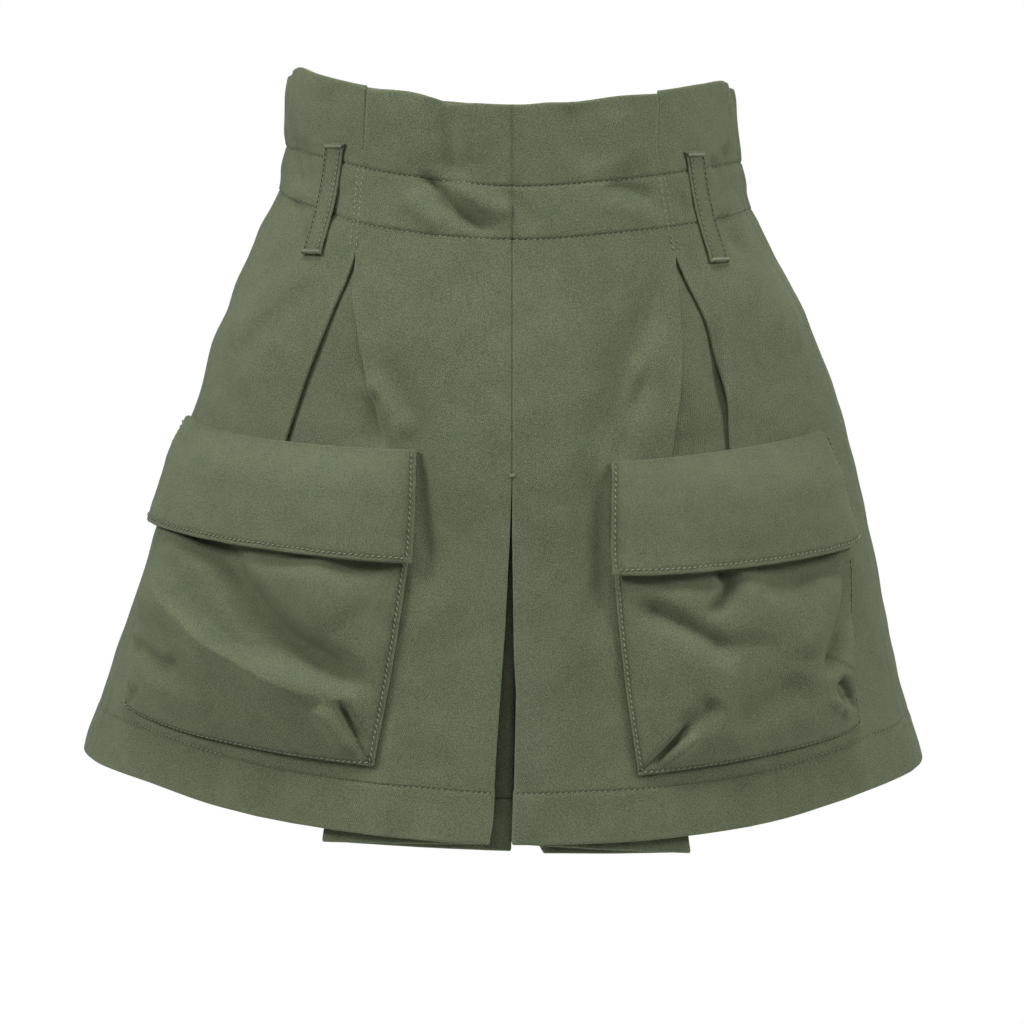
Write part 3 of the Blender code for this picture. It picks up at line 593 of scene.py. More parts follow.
# Creases of the front as worn: places (x, z) from top to bottom, width to the viewer's right
# and left of the crease, height (troughs are negative).
FRONT_CREASES = [
    ([(-0.0374, 0.0620), (-0.0355, 0.0310), (-0.0320, -0.0020)], (0.0100, 0.0080), -0.0046),
    ([(-0.0510, 0.0560), (-0.0475, 0.0320), (-0.0430, 0.0120)], (0.0070, 0.0110), +0.0016),
    ([(-0.0215, 0.0500), (-0.0225, 0.0300), (-0.0240, 0.0120)], (0.0110, 0.0070), +0.0014),
    ([(-0.0520, 0.0090), (-0.0340, -0.0060), (-0.0230, -0.0150), (-0.0080, -0.0260)],
     (0.0036, 0.0046), -0.0056),
    ([(-0.0330, 0.0020), (-0.0150, -0.0085), (0.0030, -0.0135)], (0.0060, 0.0050), +0.0032),
    ([(-0.0600, -0.0030), (-0.0460, -0.0150), (-0.0350, -0.0220)], (0.0045, 0.0050), +0.0020),
    ([(-0.0100, -0.0020), (0.0060, -0.0120), (0.0120, -0.0240)], (0.0050, 0.0050), -0.0016),
    ([(0.0300, 0.0470), (0.0370, 0.0260), (0.0430, 0.0080)], (0.0120, 0.0090), -0.0024),
    ([(0.0560, 0.0430), (0.0600, 0.0260), (0.0640, 0.0080)], (0.0100, 0.0090), +0.0014),
    ([(0.0500, 0.0010), (0.0650, -0.0020), (0.0780, -0.0080)], (0.0045, 0.0042), -0.0028),
    ([(0.0460, -0.0090), (0.0600, -0.0120), (0.0740, -0.0180)], (0.0040, 0.0040), +0.0012),
    ([(-0.1000, 0.0560), (-0.0985, 0.0380), (-0.0970, 0.0260)], (0.0080, 0.0080), -0.0014),
    ([(-0.1225, 0.0300), (-0.1200, 0.0110), (-0.1165, -0.0030)], (0.0030, 0.0036), -0.0034),
    ([(-0.1160, 0.0280), (-0.1130, 0.0100), (-0.1110, -0.0050)], (0.0026, 0.0030), -0.0022),
    ([(-0.1200, -0.0060), (-0.1180, -0.0200), (-0.1130, -0.0340)], (0.0040, 0.0040), -0.0022),
    ([(0.1180, 0.0240), (0.1225, 0.0070), (0.1245, -0.0080)], (0.0036, 0.0030), -0.0034),
    ([(0.1090, 0.0180), (0.1150, 0.0030), (0.1180, -0.0100)], (0.0032, 0.0028), -0.0024),
    ([(0.1150, -0.0130), (0.1200, -0.0260), (0.1270, -0.0400)], (0.0040, 0.0040), -0.0022),
    ([(-0.0900, 0.0000), (-0.0960, -0.0100), (-0.0990, -0.0200)], (0.0040, 0.0036), -0.0014),
    ([(0.0880, -0.0040), (0.0930, -0.0120), (0.0950, -0.0230)], (0.0036, 0.0040), -0.0014),
    ([(-0.1020, -0.0380), (-0.1280, -0.0600), (-0.1424, -0.0725), (-0.1540, -0.0930)],
     (0.0060, 0.0120), +0.0036),
    ([(-0.1080, -0.0310), (-0.1290, -0.0460), (-0.1440, -0.0640)], (0.0060, 0.0070), -0.0022),
    ([(-0.1240, -0.0780), (-0.1400, -0.0990), (-0.1560, -0.1120)], (0.0110, 0.0120), +0.0020),
    ([(0.1220, -0.0380), (0.1400, -0.0620), (0.1560, -0.0960)], (0.0110, 0.0120), +0.0030),
    ([(0.1240, -0.0640), (0.1380, -0.0900), (0.1450, -0.1200)], (0.0100, 0.0090), -0.0020),
    ([(-0.0800, -0.0990), (-0.0671, -0.1159), (-0.0540, -0.1350)], (0.0060, 0.0080), +0.0036),
    ([(-0.0700, -0.0900), (-0.0580, -0.1180), (-0.0500, -0.1400), (-0.0478, -0.1600),
      (-0.0400, -0.2250)], (0.0120, 0.0084), -0.0046),
    ([(-0.0765, -0.1080), (-0.0747, -0.1230), (-0.0731, -0.1420)], (0.0050, 0.0046), -0.0046),
    ([(-0.0340, -0.1200), (-0.0330, -0.1700), (-0.0280, -0.2400)], (0.0110, 0.0120), +0.0020),
    ([(0.0800, -0.0500), (0.0620, -0.0980), (0.0450, -0.1500)], (0.0100, 0.0120), -0.0048),
    ([(0.0750, -0.0950), (0.0640, -0.1220), (0.0560, -0.1520)], (0.0056, 0.0046), -0.0034),
    ([(0.0690, -0.0880), (0.0650, -0.1100), (0.0620, -0.1380)], (0.0044, 0.0044), +0.0022),
    ([(0.0440, -0.1380), (0.0450, -0.1800), (0.0480, -0.2500)], (0.0090, 0.0120), -0.0034),
    ([(0.0300, -0.1100), (0.0280, -0.1700), (0.0320, -0.2600)], (0.0130, 0.0120), +0.0020),
    ([(0.1108, -0.0700), (0.1130, -0.1100), (0.1085, -0.1440)], (0.0030, 0.0050), -0.0036),
    ([(0.0985, -0.0900), (0.0990, -0.1150), (0.0980, -0.1400)], (0.0060, 0.0060), +0.0018),
    ([(-0.0200, -0.1600), (-0.0240, -0.2200), (-0.0280, -0.3000)], (0.0120, 0.0100), -0.0020),
    ([(0.0180, -0.1700), (0.0200, -0.2400), (0.0180, -0.3100)], (0.0100, 0.0120), -0.0016),
    ([(-0.0480, -0.2300), (-0.0450, -0.2900), (-0.0500, -0.3500)], (0.0150, 0.0130), -0.0026),
    ([(0.0350, -0.2500), (0.0400, -0.3000), (0.0380, -0.3500)], (0.0160, 0.0140), -0.0022),
    ([(0.1900, -0.2300), (0.1960, -0.2900), (0.2000, -0.3300)], (0.0080, 0.0080), -0.0014),
]


def row_height(phi, row):
    """Height of a row at an angle: -2 top edge, -1 and 0 casing rows, 1 hem."""
    degrees = np.degrees(phi)
    top, upper, lower, hem = [smooth_table(degrees, LINES[:, 0], LINES[:, k]) for k in range(1, 5)]
    frill = upper + (top - upper) * (-1 - row)
    casing = lower + (upper - lower) * -row
    return np.where(row < -1, frill, np.where(row < 0, casing, lower + (hem - lower) * row))


def leg_height(phi, row, hem):
    """Height of a leg row where the hem has its own height instead of the face's."""
    lower = smooth_table(np.degrees(phi), LINES[:, 0], LINES[:, 3])
    return lower + (hem - lower) * row


def hugging(row, above, below):
    """Rows 0.5, 1, 1.8 and 3 mm to both sides of a row, by the stretch's height on each side."""
    apart = np.array([0.0005, 0.0010, 0.0018, 0.0030])
    return np.concatenate([row - apart / above, [row], row + apart / below])


def panel_rows():
    """All rows of a full-height panel: even ones, and close ones beside edges and stitching."""
    even = [np.linspace(-2, -1, 22), np.linspace(-1, 0, 14), np.linspace(0, 1, 150)]
    close = [hugging(-2, FRILL, FRILL), hugging(-1, FRILL, CASING), hugging(0, CASING, LEG),
             hugging(HEM_ROW, LEG, LEG), hugging(1, LEG, LEG)]
    rows = np.unique(np.round(np.concatenate(even + close), 5))
    return rows[(rows >= -2) & (rows <= 1)]


def across_steps(count, width):
    """Shares 0 to 1 in even steps, with close ones by both ends; width is in metres."""
    close = np.array([0.0005, 0.0012, 0.0022]) / width
    return np.unique(np.round(np.concatenate([np.linspace(0, 1, count), close, 1 - close]), 5))


def edge_on_row(table, row):
    """Angle, height and the table's other columns where a fold edge crosses each row."""
    phi = np.full_like(row, np.sign(table[0, 1]) * 0.6)
    for _ in range(6):
        z = row_height(phi, row)
        phi = angle_of(smooth_table(z, table[:, 0], table[:, 1]), z)
    others = [np.interp(z, table[::-1, 0], table[::-1, k]) for k in range(2, table.shape[1])]
    return phi, z, others


def fold_path(turn, depth):
    """A fold walked across the section: five chords turning under, three running, five back."""
    bend = (np.arange(5) + 0.5) / 5
    bend = np.radians(turn)[:, None] * np.concatenate([bend, np.ones(3), bend[::-1]])
    step = np.full(bend.shape, PLEAT_BEND / 5)
    step[:, 5:8] = np.asarray(depth)[:, None] / 3
    along, below = np.cumsum(step * np.cos(bend), axis=1), np.cumsum(step * np.sin(bend), axis=1)
    start = np.zeros((len(turn), 1))
    along, below = np.hstack([start, along]), np.hstack([start, below])
    return along - along[:, :8].max(axis=1, keepdims=True), below


def worn_front(phi, z, out):
    """Point on the front as worn: creases and a light unevenness, none along the side seam."""
    x = half_sizes(phi, z)[0] * np.sin(phi)
    free = smooth_step(np.abs(np.abs(np.degrees(phi)) - SIDE_SEAM_DEG) / SEAM_FADE)
    long_waves, short_waves = FRONT_UNEVEN
    uneven = long_waves * rumple(x, z, 0.034, 11) + short_waves * rumple(x, z, 0.012, 12)
    return on_form(phi, z, out + free * (creased(x, z, FRONT_CREASES) + uneven))


def centre_fold_x(side, z):
    """Where the middle of the centre fold's edge lies, against its neighbour when closed."""
    table = CENTRE_FOLD[side][::-1]
    return np.interp(z, table[:, 0], table[:, 1]) + SIDES[side] * SEWN_APART


def centre_bend(row):
    """Radius of the centre fold: tight in the leg, wider where the hem is double."""
    return BEND[0] + (BEND[1] - BEND[0]) * smooth_step((row - HEM_ROW + 0.05) / 0.05)


def pleat_reach(side, row):
    """x at which the centre pleat turns round inside, on each row."""
    growth = CENTRE_PLEAT_HEM[side] - CENTRE_PLEAT_TOP
    return SIDES[side] * (CENTRE_PLEAT_TOP + growth * np.clip(row, 0, 1))


def turned_layer(side, row):
    """Centre turn-back: a half circle at the fold, the layer behind, a quarter of the far bend."""
    sign = SIDES[side]
    z0 = row_height(np.zeros_like(row), row)
    radius = centre_bend(row)[:, None]
    edge = centre_fold_x(side, z0)[:, None] + sign * radius
    far = pleat_reach(side, row)[:, None]
    bend = np.linspace(0, np.pi, 8)[1:]
    run = np.linspace(0, 1, 22)[1:]
    last = np.linspace(0, np.pi / 2, 4)[1:]
    slope = LAYER_SLOPE * np.abs(far - edge)
    x = np.hstack([edge - sign * radius * np.sin(bend), edge + (far - edge) * run,
                   far + sign * UNDER_BEND * np.sin(last)])
    below = np.hstack([radius * (1 - np.cos(bend)), 2 * BEND[1] + slope * run,
                       2 * BEND[1] + slope + UNDER_BEND * (1 - np.cos(last))])
    share = np.abs((x - edge) / (far - edge))
    hem = HEM_FRONT + (INNER_LEG[side]["hem"][0] - HEM_FRONT) * share
    phi = angle_of(x, z0[:, None])
    return phi, below, leg_height(phi, row[:, None], hem)


def row_thickness(row):
    """Double cloth in frill, casing and hem, single in the leg, rounded at top edge and hem."""
    double = np.where((row < 0.004) | (row > HEM_ROW - 0.004), HEM_PLY, PLY)
    edge = np.minimum((row + 2) * FRILL, (1 - row) * LEG)
    return double * edge_round(edge)


def worn_edges(row):
    """Wear on the top edge and the hem, which dies away from both within EDGE_WEAR."""
    return np.exp(-(1 - row) * LEG / EDGE_WEAR) + np.exp(-(row + 2) * FRILL / EDGE_WEAR)


def row_relief(phi, row, seed):
    """What the stitch rows do to the cloth: grooves, small puckers and a full casing, and the
    painted shade in the grooves.
    """
    arc = phi * HIP_RADIUS
    relief = np.zeros(np.broadcast(phi, row).shape)
    groove_shade = np.zeros_like(relief)
    for n, (line, above, below) in enumerate(
            [(-1, FRILL, CASING), (0, CASING, LEG), (HEM_ROW, LEG, LEG)]):
        apart = np.where(row < line, (line - row) * above, (row - line) * below)
        groove = stitch_groove(apart)
        relief -= GROOVE_DEPTH * groove
        relief += PUCKER * rumple(arc, 0 * arc, 0.0085, seed + n) * np.exp(
            -apart / PUCKER_REACH)
        groove_shade += groove
    full = np.clip(-row, 0, 1)
    relief += CASING_FULL * np.where(row < 0, (4 * full * (1 - full)) ** 0.7, 0)
    return relief, np.clip(groove_shade, 0, 1)


def hip_pleat(side, row):
    """Angle and depth of the inverted hip pleat's outer fold, hidden cloth and inner fold.

    Each fold starts from its edge's table. Where the casing holds the pleat, the inner edge
    meets the outer one; from there both run free. A last value gives the cloth passed for
    each radian at the pleat.
    """
    inboard = -SIDES[side]
    outer, z_outer, (turn_o, depth_o) = edge_on_row(HIP_PLEATS[side]["outer"], row)
    inner, _, (turn_i, depth_i) = edge_on_row(HIP_PLEATS[side]["inner"], row)
    reach = metre_per_radian(outer, z_outer)[:, None]
    apart = np.interp(row, [TUCK_FREE[0], *TUCK_HELD, TUCK_FREE[1]],
                      [PLY, TUCK_LAP, TUCK_LAP, PLY])
    closed = outer + inboard * apart / reach[:, 0]
    free = smooth_step((row - TUCK_HELD[1]) / 0.020) + smooth_step((TUCK_HELD[0] - row) / 0.2)
    inner = closed + (inboard * np.maximum(inboard * inner, inboard * closed) - closed) * free
    along_o, below_o = fold_path(turn_o, depth_o)
    along_i, below_i = fold_path(turn_i, depth_i)
    fold_o = outer[:, None] + inboard * along_o / reach
    fold_i = (inner[:, None] - inboard * along_i / reach)[:, ::-1]
    below_i = below_i[:, ::-1]
    run = np.linspace(0, 1, 5)[1:-1]
    under = fold_o[:, -1:] + (fold_i[:, :1] - fold_o[:, -1:]) * run
    under_below = below_o[:, -1:] + (below_i[:, :1] - below_o[:, -1:]) * run
    return (fold_o, under, fold_i), (below_o, under_below, below_i), reach


def front_grid(side):
    """The front's points, painted shade of grooves and wear, with the cells kept and the parts that
    show.

    From the side seam the columns run through the side, the hip pleat, the centre and, in the
    leg alone, the turned-back layer.
    """
    sign = SIDES[side]
    row = panel_rows()
    (fold_o, under, fold_i), pleat_below, reach = hip_pleat(side, row)
    seam = np.radians(sign * SIDE_SEAM_DEG)
    side_part = seam + (fold_o[:, :1] - seam) * across_steps(44, SIDE_WIDE)[:-1]
    in_leg = row >= 0
    z0 = row_height(np.zeros_like(row), row)
    edge = centre_fold_x(side, z0) + sign * np.where(in_leg, centre_bend(row), -SEWN_APART)
    centre = angle_of(edge, z0)[:, None]
    across = across_steps(52, CENTRE_WIDE)[1:]
    centre_part = fold_i[:, -1:] + (centre - fold_i[:, -1:]) * across

    phi = np.hstack([side_part, fold_o, under, fold_i, centre_part])
    below = np.hstack([0 * side_part, *pleat_below, 0 * centre_part])
    inside = TUCK_INSIDE[side]
    lowered = np.concatenate([np.zeros(side_part.shape[1]),
                              inside * smooth_step(np.linspace(-0.2, 0.8, 14)), [inside] * 3,
                              inside + (1 - inside) * smooth_step(np.linspace(0, 1, 14)),
                              1 - 0.85 * across])
    frill = np.clip(-1 - row, 0, 1)[:, None]
    waves = sum(height * np.exp(-((phi * FRILL_RADIUS - place) / width) ** 2)
                for place, width, height in FRILL_WAVES)
    z = row_height(phi, row[:, None]) - TUCK_STEP * lowered * frill + frill * waves

    relief, groove_shade = row_relief(phi, row[:, None], 40 + int(sign))
    on_face = np.clip(1 - below / 0.0008, 0, 1)
    seams = SIDE_SEAM_SHARE * stitch_groove(np.abs(phi - seam) * reach) + np.where(
        in_leg, 0, 1)[:, None] * stitch_groove(np.abs(phi - centre) * 0.1)
    relief = (relief - SEAM_DEPTH * seams) * on_face
    # painted shade along the seams' grooves as well as the stitch rows'
    groove_shade = np.clip(groove_shade + SEAM_SHADE * seams, 0, 1) * on_face
    turn_phi, turn_below, turn_z = turned_layer(side, np.clip(row, 0, 1))
    points = worn_front(np.hstack([phi, turn_phi]), np.hstack([z, turn_z]),
                        np.hstack([relief - below, -turn_below]) - WALL / 2)
    keep = np.ones((len(row) - 1, points.shape[1] - 1), bool)
    keep[: np.argmax(in_leg), -turn_phi.shape[1]:] = False
    rolled = np.exp(-((np.hstack([below, turn_below]) - 0.0006) / 0.0007) ** 2)
    is_fold = np.hstack([0 * side_part, np.ones_like(fold_o), 0 * under, np.ones_like(fold_i),
                         0 * centre_part, np.ones_like(turn_phi)])
    rubbed = np.clip(rolled * is_fold * 0.8 + worn_edges(row)[:, None], 0, 1)
    groove_shade = np.hstack([groove_shade, 0 * turn_phi])
    parts = {"side": slice(0, side_part.shape[1] + 2),
             "centre": slice(phi.shape[1] - centre_part.shape[1] - 2, phi.shape[1])}
    return row, points, keep, groove_shade, rubbed, parts


def sewn_lines(row, points, normals, parts, lines):
    """Stitches along given rows of a panel, over the columns that show."""
    runs = []
    for line in lines:
        at = int(np.argmin(np.abs(row - line)))
        for part in parts:
            runs.append(stitch_run(points[at, part], normals[at, part], PLY / 2 + STITCH_LIFT))
    return runs


def outwards(side, mirrored):
    """Order of a grid's columns that turns its faces outwards, and the sign of its normals."""
    turned = side == mirrored
    return slice(None, None, -1 if turned else None), -1 if turned else 1


for side in SIDES:
    row, points, keep, groove_shade, rubbed, parts = front_grid(side)
    order, facing = outwards(side, "left")
    uv = cloth_uv(points, parts["centre"].stop - 1)
    front = cloth_piece(f"front_cloth_{side}", points[:, order], row_thickness(row)[:, None],
                        uv[:, order], groove_shade[:, order], rubbed[:, order], keep[:, order])
    normals = grid_normals(points) * facing
    runs = sewn_lines(row, points, normals, parts.values(), (-1, 0, HEM_ROW))
    held = (row > TUCK_STITCHED[0]) & (row < TUCK_STITCHED[1])
    for beside_fold in (parts["side"].stop - 5, parts["centre"].start + 4):
        runs.append(stitch_run(points[held, beside_fold], normals[held, beside_fold],
                               PLY / 2 + TUCK_STITCH_LIFT, pitch=TUCK_STITCH_PITCH))
    seams = stitching(f"front_stitching_{side}", runs)
    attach(front, "root")
    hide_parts(f"front_{side}")

# ---------------------------------------------------------------- pleat underlays
# Behind the centre pleat hangs the underlay, seamed to the fronts' turned-back cloth. It runs
# to the middle and turns there into the front half of the inner leg. Its hem is topstitched
# like the rest.
CROTCH_Z = -0.250
FRONT_CURVE_Z, FRONT_OPEN_Z = -0.175, -0.195     # the curve's start, and where the leg opens
BACK_CURVE_Z, BACK_OPEN_Z = -0.150, -0.177
INSEAM_HEM_Z = -0.3500
SHORTEST_WALL = 0.0050
WALL_WIDE = 0.12           # of an inner leg's half, from its corner to the inseam
WALL_SLACK = 0.0012        # its unevenness between its two seams


def inner_wall(side, corner, row, start_z, facing):
    """Inner leg from a corner behind the face to the crotch curve or the inseam.

    The curve from the centre seam to the crotch is a quarter circle in the side view. facing
    is +1 for the front half and -1 for the back half.
    """
    apart = CENTRE_SHIFT + SIDES[side] * SEWN_APART
    z = corner[:, 2]
    low = np.clip((CROTCH_Z - z) / (CROTCH_Z - INSEAM_HEM_Z), 0, 1)
    seam_x = apart + (INNER_LEG[side]["inseam"] - apart) * low
    seam_z = z + (INSEAM_HEM_Z - z[-1]) * row ** 2
    seam = np.stack([seam_x, np.full_like(z, -facing * EDGE_GAP), seam_z], -1)
    drop = np.clip((start_z - z) / (start_z - CROTCH_Z), 0, 1)
    reach = 1 - np.sqrt(1 - drop ** 2)
    reach = np.where(reach * np.abs(corner[:, 1]) < SHORTEST_WALL, 0, reach)
    share = across_steps(26, WALL_WIDE)[None, 1:, None]
    wall = corner[:, None] + (seam - corner)[:, None] * reach[:, None, None] * share
    sewn = np.sign(reach)[:, None] * share[..., 0]
    wall[..., 0] = corner[:, None, 0] + (seam_x - corner[:, 0])[:, None] * sewn
    slack = WALL_SLACK * rumple(wall[..., 1], wall[..., 2], 0.045, 71)
    slack = slack * np.sin(np.pi * share[..., 0])
    wall[..., 0] += slack * reach[:, None]
    return wall


def underlay_grid(side):
    """Far bend, flat run to the middle and inner leg, on the leg's rows."""
    sign = SIDES[side]
    row = panel_rows()
    row = row[row >= 0]
    far = pleat_reach(side, row)[:, None]
    z0 = row_height(np.zeros_like(row), row)
    edge = (centre_fold_x(side, z0) + sign * centre_bend(row))[:, None]
    depth = BEND[1] * 2 + LAYER_SLOPE * np.abs(far - edge)
    apart = CENTRE_SHIFT + sign * SEWN_APART
    low = np.clip((FRONT_OPEN_Z - z0) / (FRONT_OPEN_Z - HEM_FRONT), 0, 1)
    corner_x = (apart + (INNER_LEG[side]["front"] - apart) * low)[:, None]
    bend = np.linspace(np.pi / 2, np.pi, 4)
    run = np.linspace(0, 1, 26)[1:]
    flat = depth + 2 * UNDER_BEND
    x = np.hstack([far + sign * UNDER_BEND * np.sin(bend), far + (corner_x - far) * run])
    below = np.hstack([depth + UNDER_BEND * (1 - np.cos(bend)), flat + (UNDER_DROP - flat) * run])
    share = np.abs((x - corner_x) / (far - corner_x))
    hem = INNER_LEG[side]["hem"]
    phi = angle_of(x, z0[:, None])
    z = leg_height(phi, row[:, None], hem[1] + (hem[0] - hem[1]) * share)
    relief, groove_shade = row_relief(phi, row[:, None], 55)
    relief = np.where(row[:, None] > 0.5, relief, 0)      # the hem's stitches alone
    points = worn_front(phi, z, relief - WALL / 2 - below)
    wall = inner_wall(side, points[:, -1], row, FRONT_CURVE_Z, 1)
    return row, np.concatenate([points, wall], axis=1), groove_shade, len(run)


for side in SIDES:
    row, points, groove_shade, width = underlay_grid(side)
    order, facing = outwards(side, "right")
    columns = points.shape[1]
    groove_shade = np.hstack([groove_shade, np.repeat(groove_shade[:, -1:], columns - groove_shade.shape[1], axis=1)])
    uv = cloth_uv(points, width)
    under = cloth_piece(f"underlay_cloth_{side}", points[:, order], row_thickness(row)[:, None],
                        uv[:, order], groove_shade[:, order], worn_edges(row)[:, None])
    normals = grid_normals(points) * facing
    seams = stitching(f"underlay_stitching_{side}", sewn_lines(
        row, points, normals, [slice(4, columns)], [HEM_ROW]))
    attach(under, "root")
    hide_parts(f"underlay_{side}")

# ---------------------------------------------------------------- backs
# Each back runs from the side seam to the centre-back seam and carries the back half of the
# inner leg. The elastic in the casing draws it into thirteen gathers a side, deepest between
# the two casing rows; they spread out and fade over the seat, and drag lines run down from them.
GATHERS = 13
GATHER_OUT = 0.0024
GATHERED = np.array([      # row, share of the gathers' height that is left there
    (-2.00, 1.05), (-1.20, 0.95), (-1.00, 0.62), (-0.50, 0.95),
    (0.00, 0.62), (0.03, 0.70), (0.12, 0.45), (0.34, 0.00),
])
BACK_WIDE = 0.22
HEM_FLUTE = 0.006          # how far the hem swings in and out
BACK_SEAM_ROW = 0.45       # the centre-back seam shows down to this row
BACK_SEAM_DEPTH = 0.00055
BACK_RADIUS = 0.13         # cloth passed for each radian, on the whole
BACK_UNEVEN = 0.0005
BACK_CREASES = [
    ([(-0.0400, -0.0300), (-0.0520, -0.0800), (-0.0600, -0.1500)], (0.0100, 0.0120), -0.0040),
    ([(0.0340, -0.0300), (0.0460, -0.0900), (0.0500, -0.1650)], (0.0110, 0.0110), -0.0036),
    ([(-0.0900, -0.0280), (-0.1080, -0.0700), (-0.1180, -0.1200)], (0.0090, 0.0100), -0.0032),
    ([(0.0880, -0.0260), (0.1040, -0.0740), (0.1120, -0.1300)], (0.0100, 0.0090), -0.0036),
    ([(-0.0120, -0.1300), (-0.0480, -0.1950), (-0.0980, -0.2400)], (0.0110, 0.0160), +0.0050),
    ([(0.0100, -0.1400), (0.0420, -0.2000), (0.0900, -0.2500)], (0.0160, 0.0110), +0.0046),
    ([(-0.0160, -0.1600), (-0.0500, -0.2250), (-0.1000, -0.2700)], (0.0110, 0.0090), -0.0042),
    ([(0.0160, -0.1700), (0.0450, -0.2300), (0.0960, -0.2860)], (0.0090, 0.0120), -0.0040),
    ([(-0.0260, -0.2500), (-0.0560, -0.2900), (-0.0900, -0.3150)], (0.0090, 0.0100), -0.0024),
    ([(0.0280, -0.2600), (0.0540, -0.3000), (0.0860, -0.3200)], (0.0090, 0.0100), -0.0022),
    ([(-0.1350, -0.1500), (-0.1480, -0.2300), (-0.1560, -0.3300)], (0.0150, 0.0150), +0.0040),
    ([(0.1300, -0.1600), (0.1400, -0.2400), (0.1500, -0.3300)], (0.0150, 0.0150), +0.0038),
    ([(-0.1160, -0.1600), (-0.1250, -0.2300), (-0.1300, -0.3100)], (0.0110, 0.0110), -0.0030),
    ([(0.1120, -0.1700), (0.1200, -0.2400), (0.1260, -0.3200)], (0.0110, 0.0110), -0.0028),
    ([(-0.1500, -0.0500), (-0.1640, -0.0950), (-0.1780, -0.1500)], (0.0080, 0.0100), -0.0026),
    ([(0.1500, -0.0480), (0.1660, -0.0980), (0.1800, -0.1560)], (0.0100, 0.0080), -0.0026),
]


def gather_wave(place):
    """Rise and fall of the gathers: a cosine between crests and hollows at uneven spacing."""
    number = np.arange(2 * GATHERS + 1)
    node = (number + 0.28 * np.sin(2.3 * number + 0.7)) / (2 * GATHERS)
    node = (node - node[0]) / (node[-1] - node[0])
    height = np.where(number % 2 == 1, 1.0, -1.0) * (0.78 + 0.22 * np.cos(1.9 * number))
    height *= np.clip(np.minimum(node, 1 - node) * 12, 0, 1)
    i = np.clip(np.searchsorted(node, place) - 1, 0, len(node) - 2)
    share = smooth_step((place - node[i]) / (node[i + 1] - node[i]))
    return height[i] + (height[i + 1] - height[i]) * share


def back_grid(side):
    """The back's points: the form, moved by gathers, drag lines and the hem's flutes."""
    sign = SIDES[side]
    row = panel_rows()
    seam = np.radians(sign * SIDE_SEAM_DEG)
    z_back = row_height(np.full_like(row, np.pi), row)
    low = np.clip((BACK_OPEN_Z - z_back) / (BACK_OPEN_Z - HEM_BACK), 0, 1)
    apart = sign * EDGE_GAP + sign * SEWN_APART * (low > 0)
    corner_x = apart + (INNER_LEG[side]["back"] - apart) * low
    corner = angle_of(corner_x, z_back, back=True)
    place = across_steps(150, BACK_WIDE)
    phi = seam + (corner - seam)[:, None] * place
    z = row_height(phi, row[:, None])
    tight = np.interp(row, GATHERED[:, 0], GATHERED[:, 1])[:, None]
    wander = place + 0.004 * rumple(place * 0.2, row[:, None] * 0.06, 0.035, 81 + int(sign))
    flute = HEM_FLUTE * np.clip(row, 0, 1)[:, None] ** 1.5
    out = (GATHER_OUT * tight * gather_wave(np.clip(wander, 0, 1))
           + flute * np.sin(3 * np.pi * place) * np.sin(np.pi * place))
    x = half_sizes(phi, z)[0] * np.sin(phi)
    relief, groove_shade = row_relief(phi, row[:, None], 60 + int(sign))
    seams = SIDE_SEAM_SHARE * stitch_groove(place * BACK_WIDE)
    seams = seams + stitch_groove((1 - place) * BACK_WIDE) * (row < BACK_SEAM_ROW)[:, None]
    arc = phi * BACK_RADIUS
    uneven = BACK_UNEVEN * rumple(arc, z, 0.030, 83) + creased(x, z, BACK_CREASES)
    fine = BACK_UNEVEN * rumple(arc, 0.35 * z, 0.0065, 84) * np.clip(1 - row * 4, 0, 1)[:, None]
    free = smooth_step(np.minimum(place, 1 - place) / 0.06)
    relief = out + relief + (uneven + fine) * free - BACK_SEAM_DEPTH * seams
    points = on_form(phi, z, relief - WALL / 2)
    wall = inner_wall(side, points[:, -1], np.clip(row, 0, 1), BACK_CURVE_Z, -1)
    # painted shade along the seams' grooves as well as the stitch rows'
    groove_shade = np.clip(groove_shade + SEAM_SHADE * seams, 0, 1)
    groove_shade = np.hstack([groove_shade, np.zeros(wall.shape[:2])])
    return row, np.concatenate([points, wall], axis=1), groove_shade, len(place)


for side in SIDES:
    row, points, groove_shade, width = back_grid(side)
    order, facing = outwards(side, "right")
    uv = cloth_uv(points, width - 1)
    back = cloth_piece(f"back_cloth_{side}", points[:, order], row_thickness(row)[:, None],
                       uv[:, order], groove_shade[:, order], worn_edges(row)[:, None])
    normals = grid_normals(points) * facing
    runs = sewn_lines(row, points, normals, [slice(0, width)], (-1, 0))
    runs += sewn_lines(row, points, normals, [slice(0, points.shape[1])], [HEM_ROW])
    seams = stitching(f"back_stitching_{side}", runs)
    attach(back, "root")
    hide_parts(f"back_{side}")

# ---------------------------------------------------------------- pocket bags
# A cargo bag is one cloth folded into a pouch: its sides and bottom are edge-stitched to the
# front, its two lower corners are pinched into darts, and it sags and wrinkles under its flap.
POCKETS = {
    "left": np.array([
        # share  x in     z in     phi out  z out    bow
        (0.00, -0.0540, -0.1396, -82.0, -0.1265, -0.0025),
        (0.36, -0.0555, -0.1992, -77.0, -0.1842, 0.0000),
        (0.66, -0.0630, -0.2500, -72.5, -0.2330, -0.0005),
        (1.00, -0.0737, -0.3080, -67.7, -0.2874, -0.0010),
    ]),
    "right": np.array([
        (0.00, 0.0551, -0.1460, 65.2, -0.1328, -0.0012),
        (0.36, 0.0551, -0.2056, 66.4, -0.1945, -0.0017),
        (0.66, 0.0595, -0.2560, 62.0, -0.2430, -0.0010),
        (1.00, 0.0675, -0.3128, 59.2, -0.2958, -0.0008),
    ]),
}
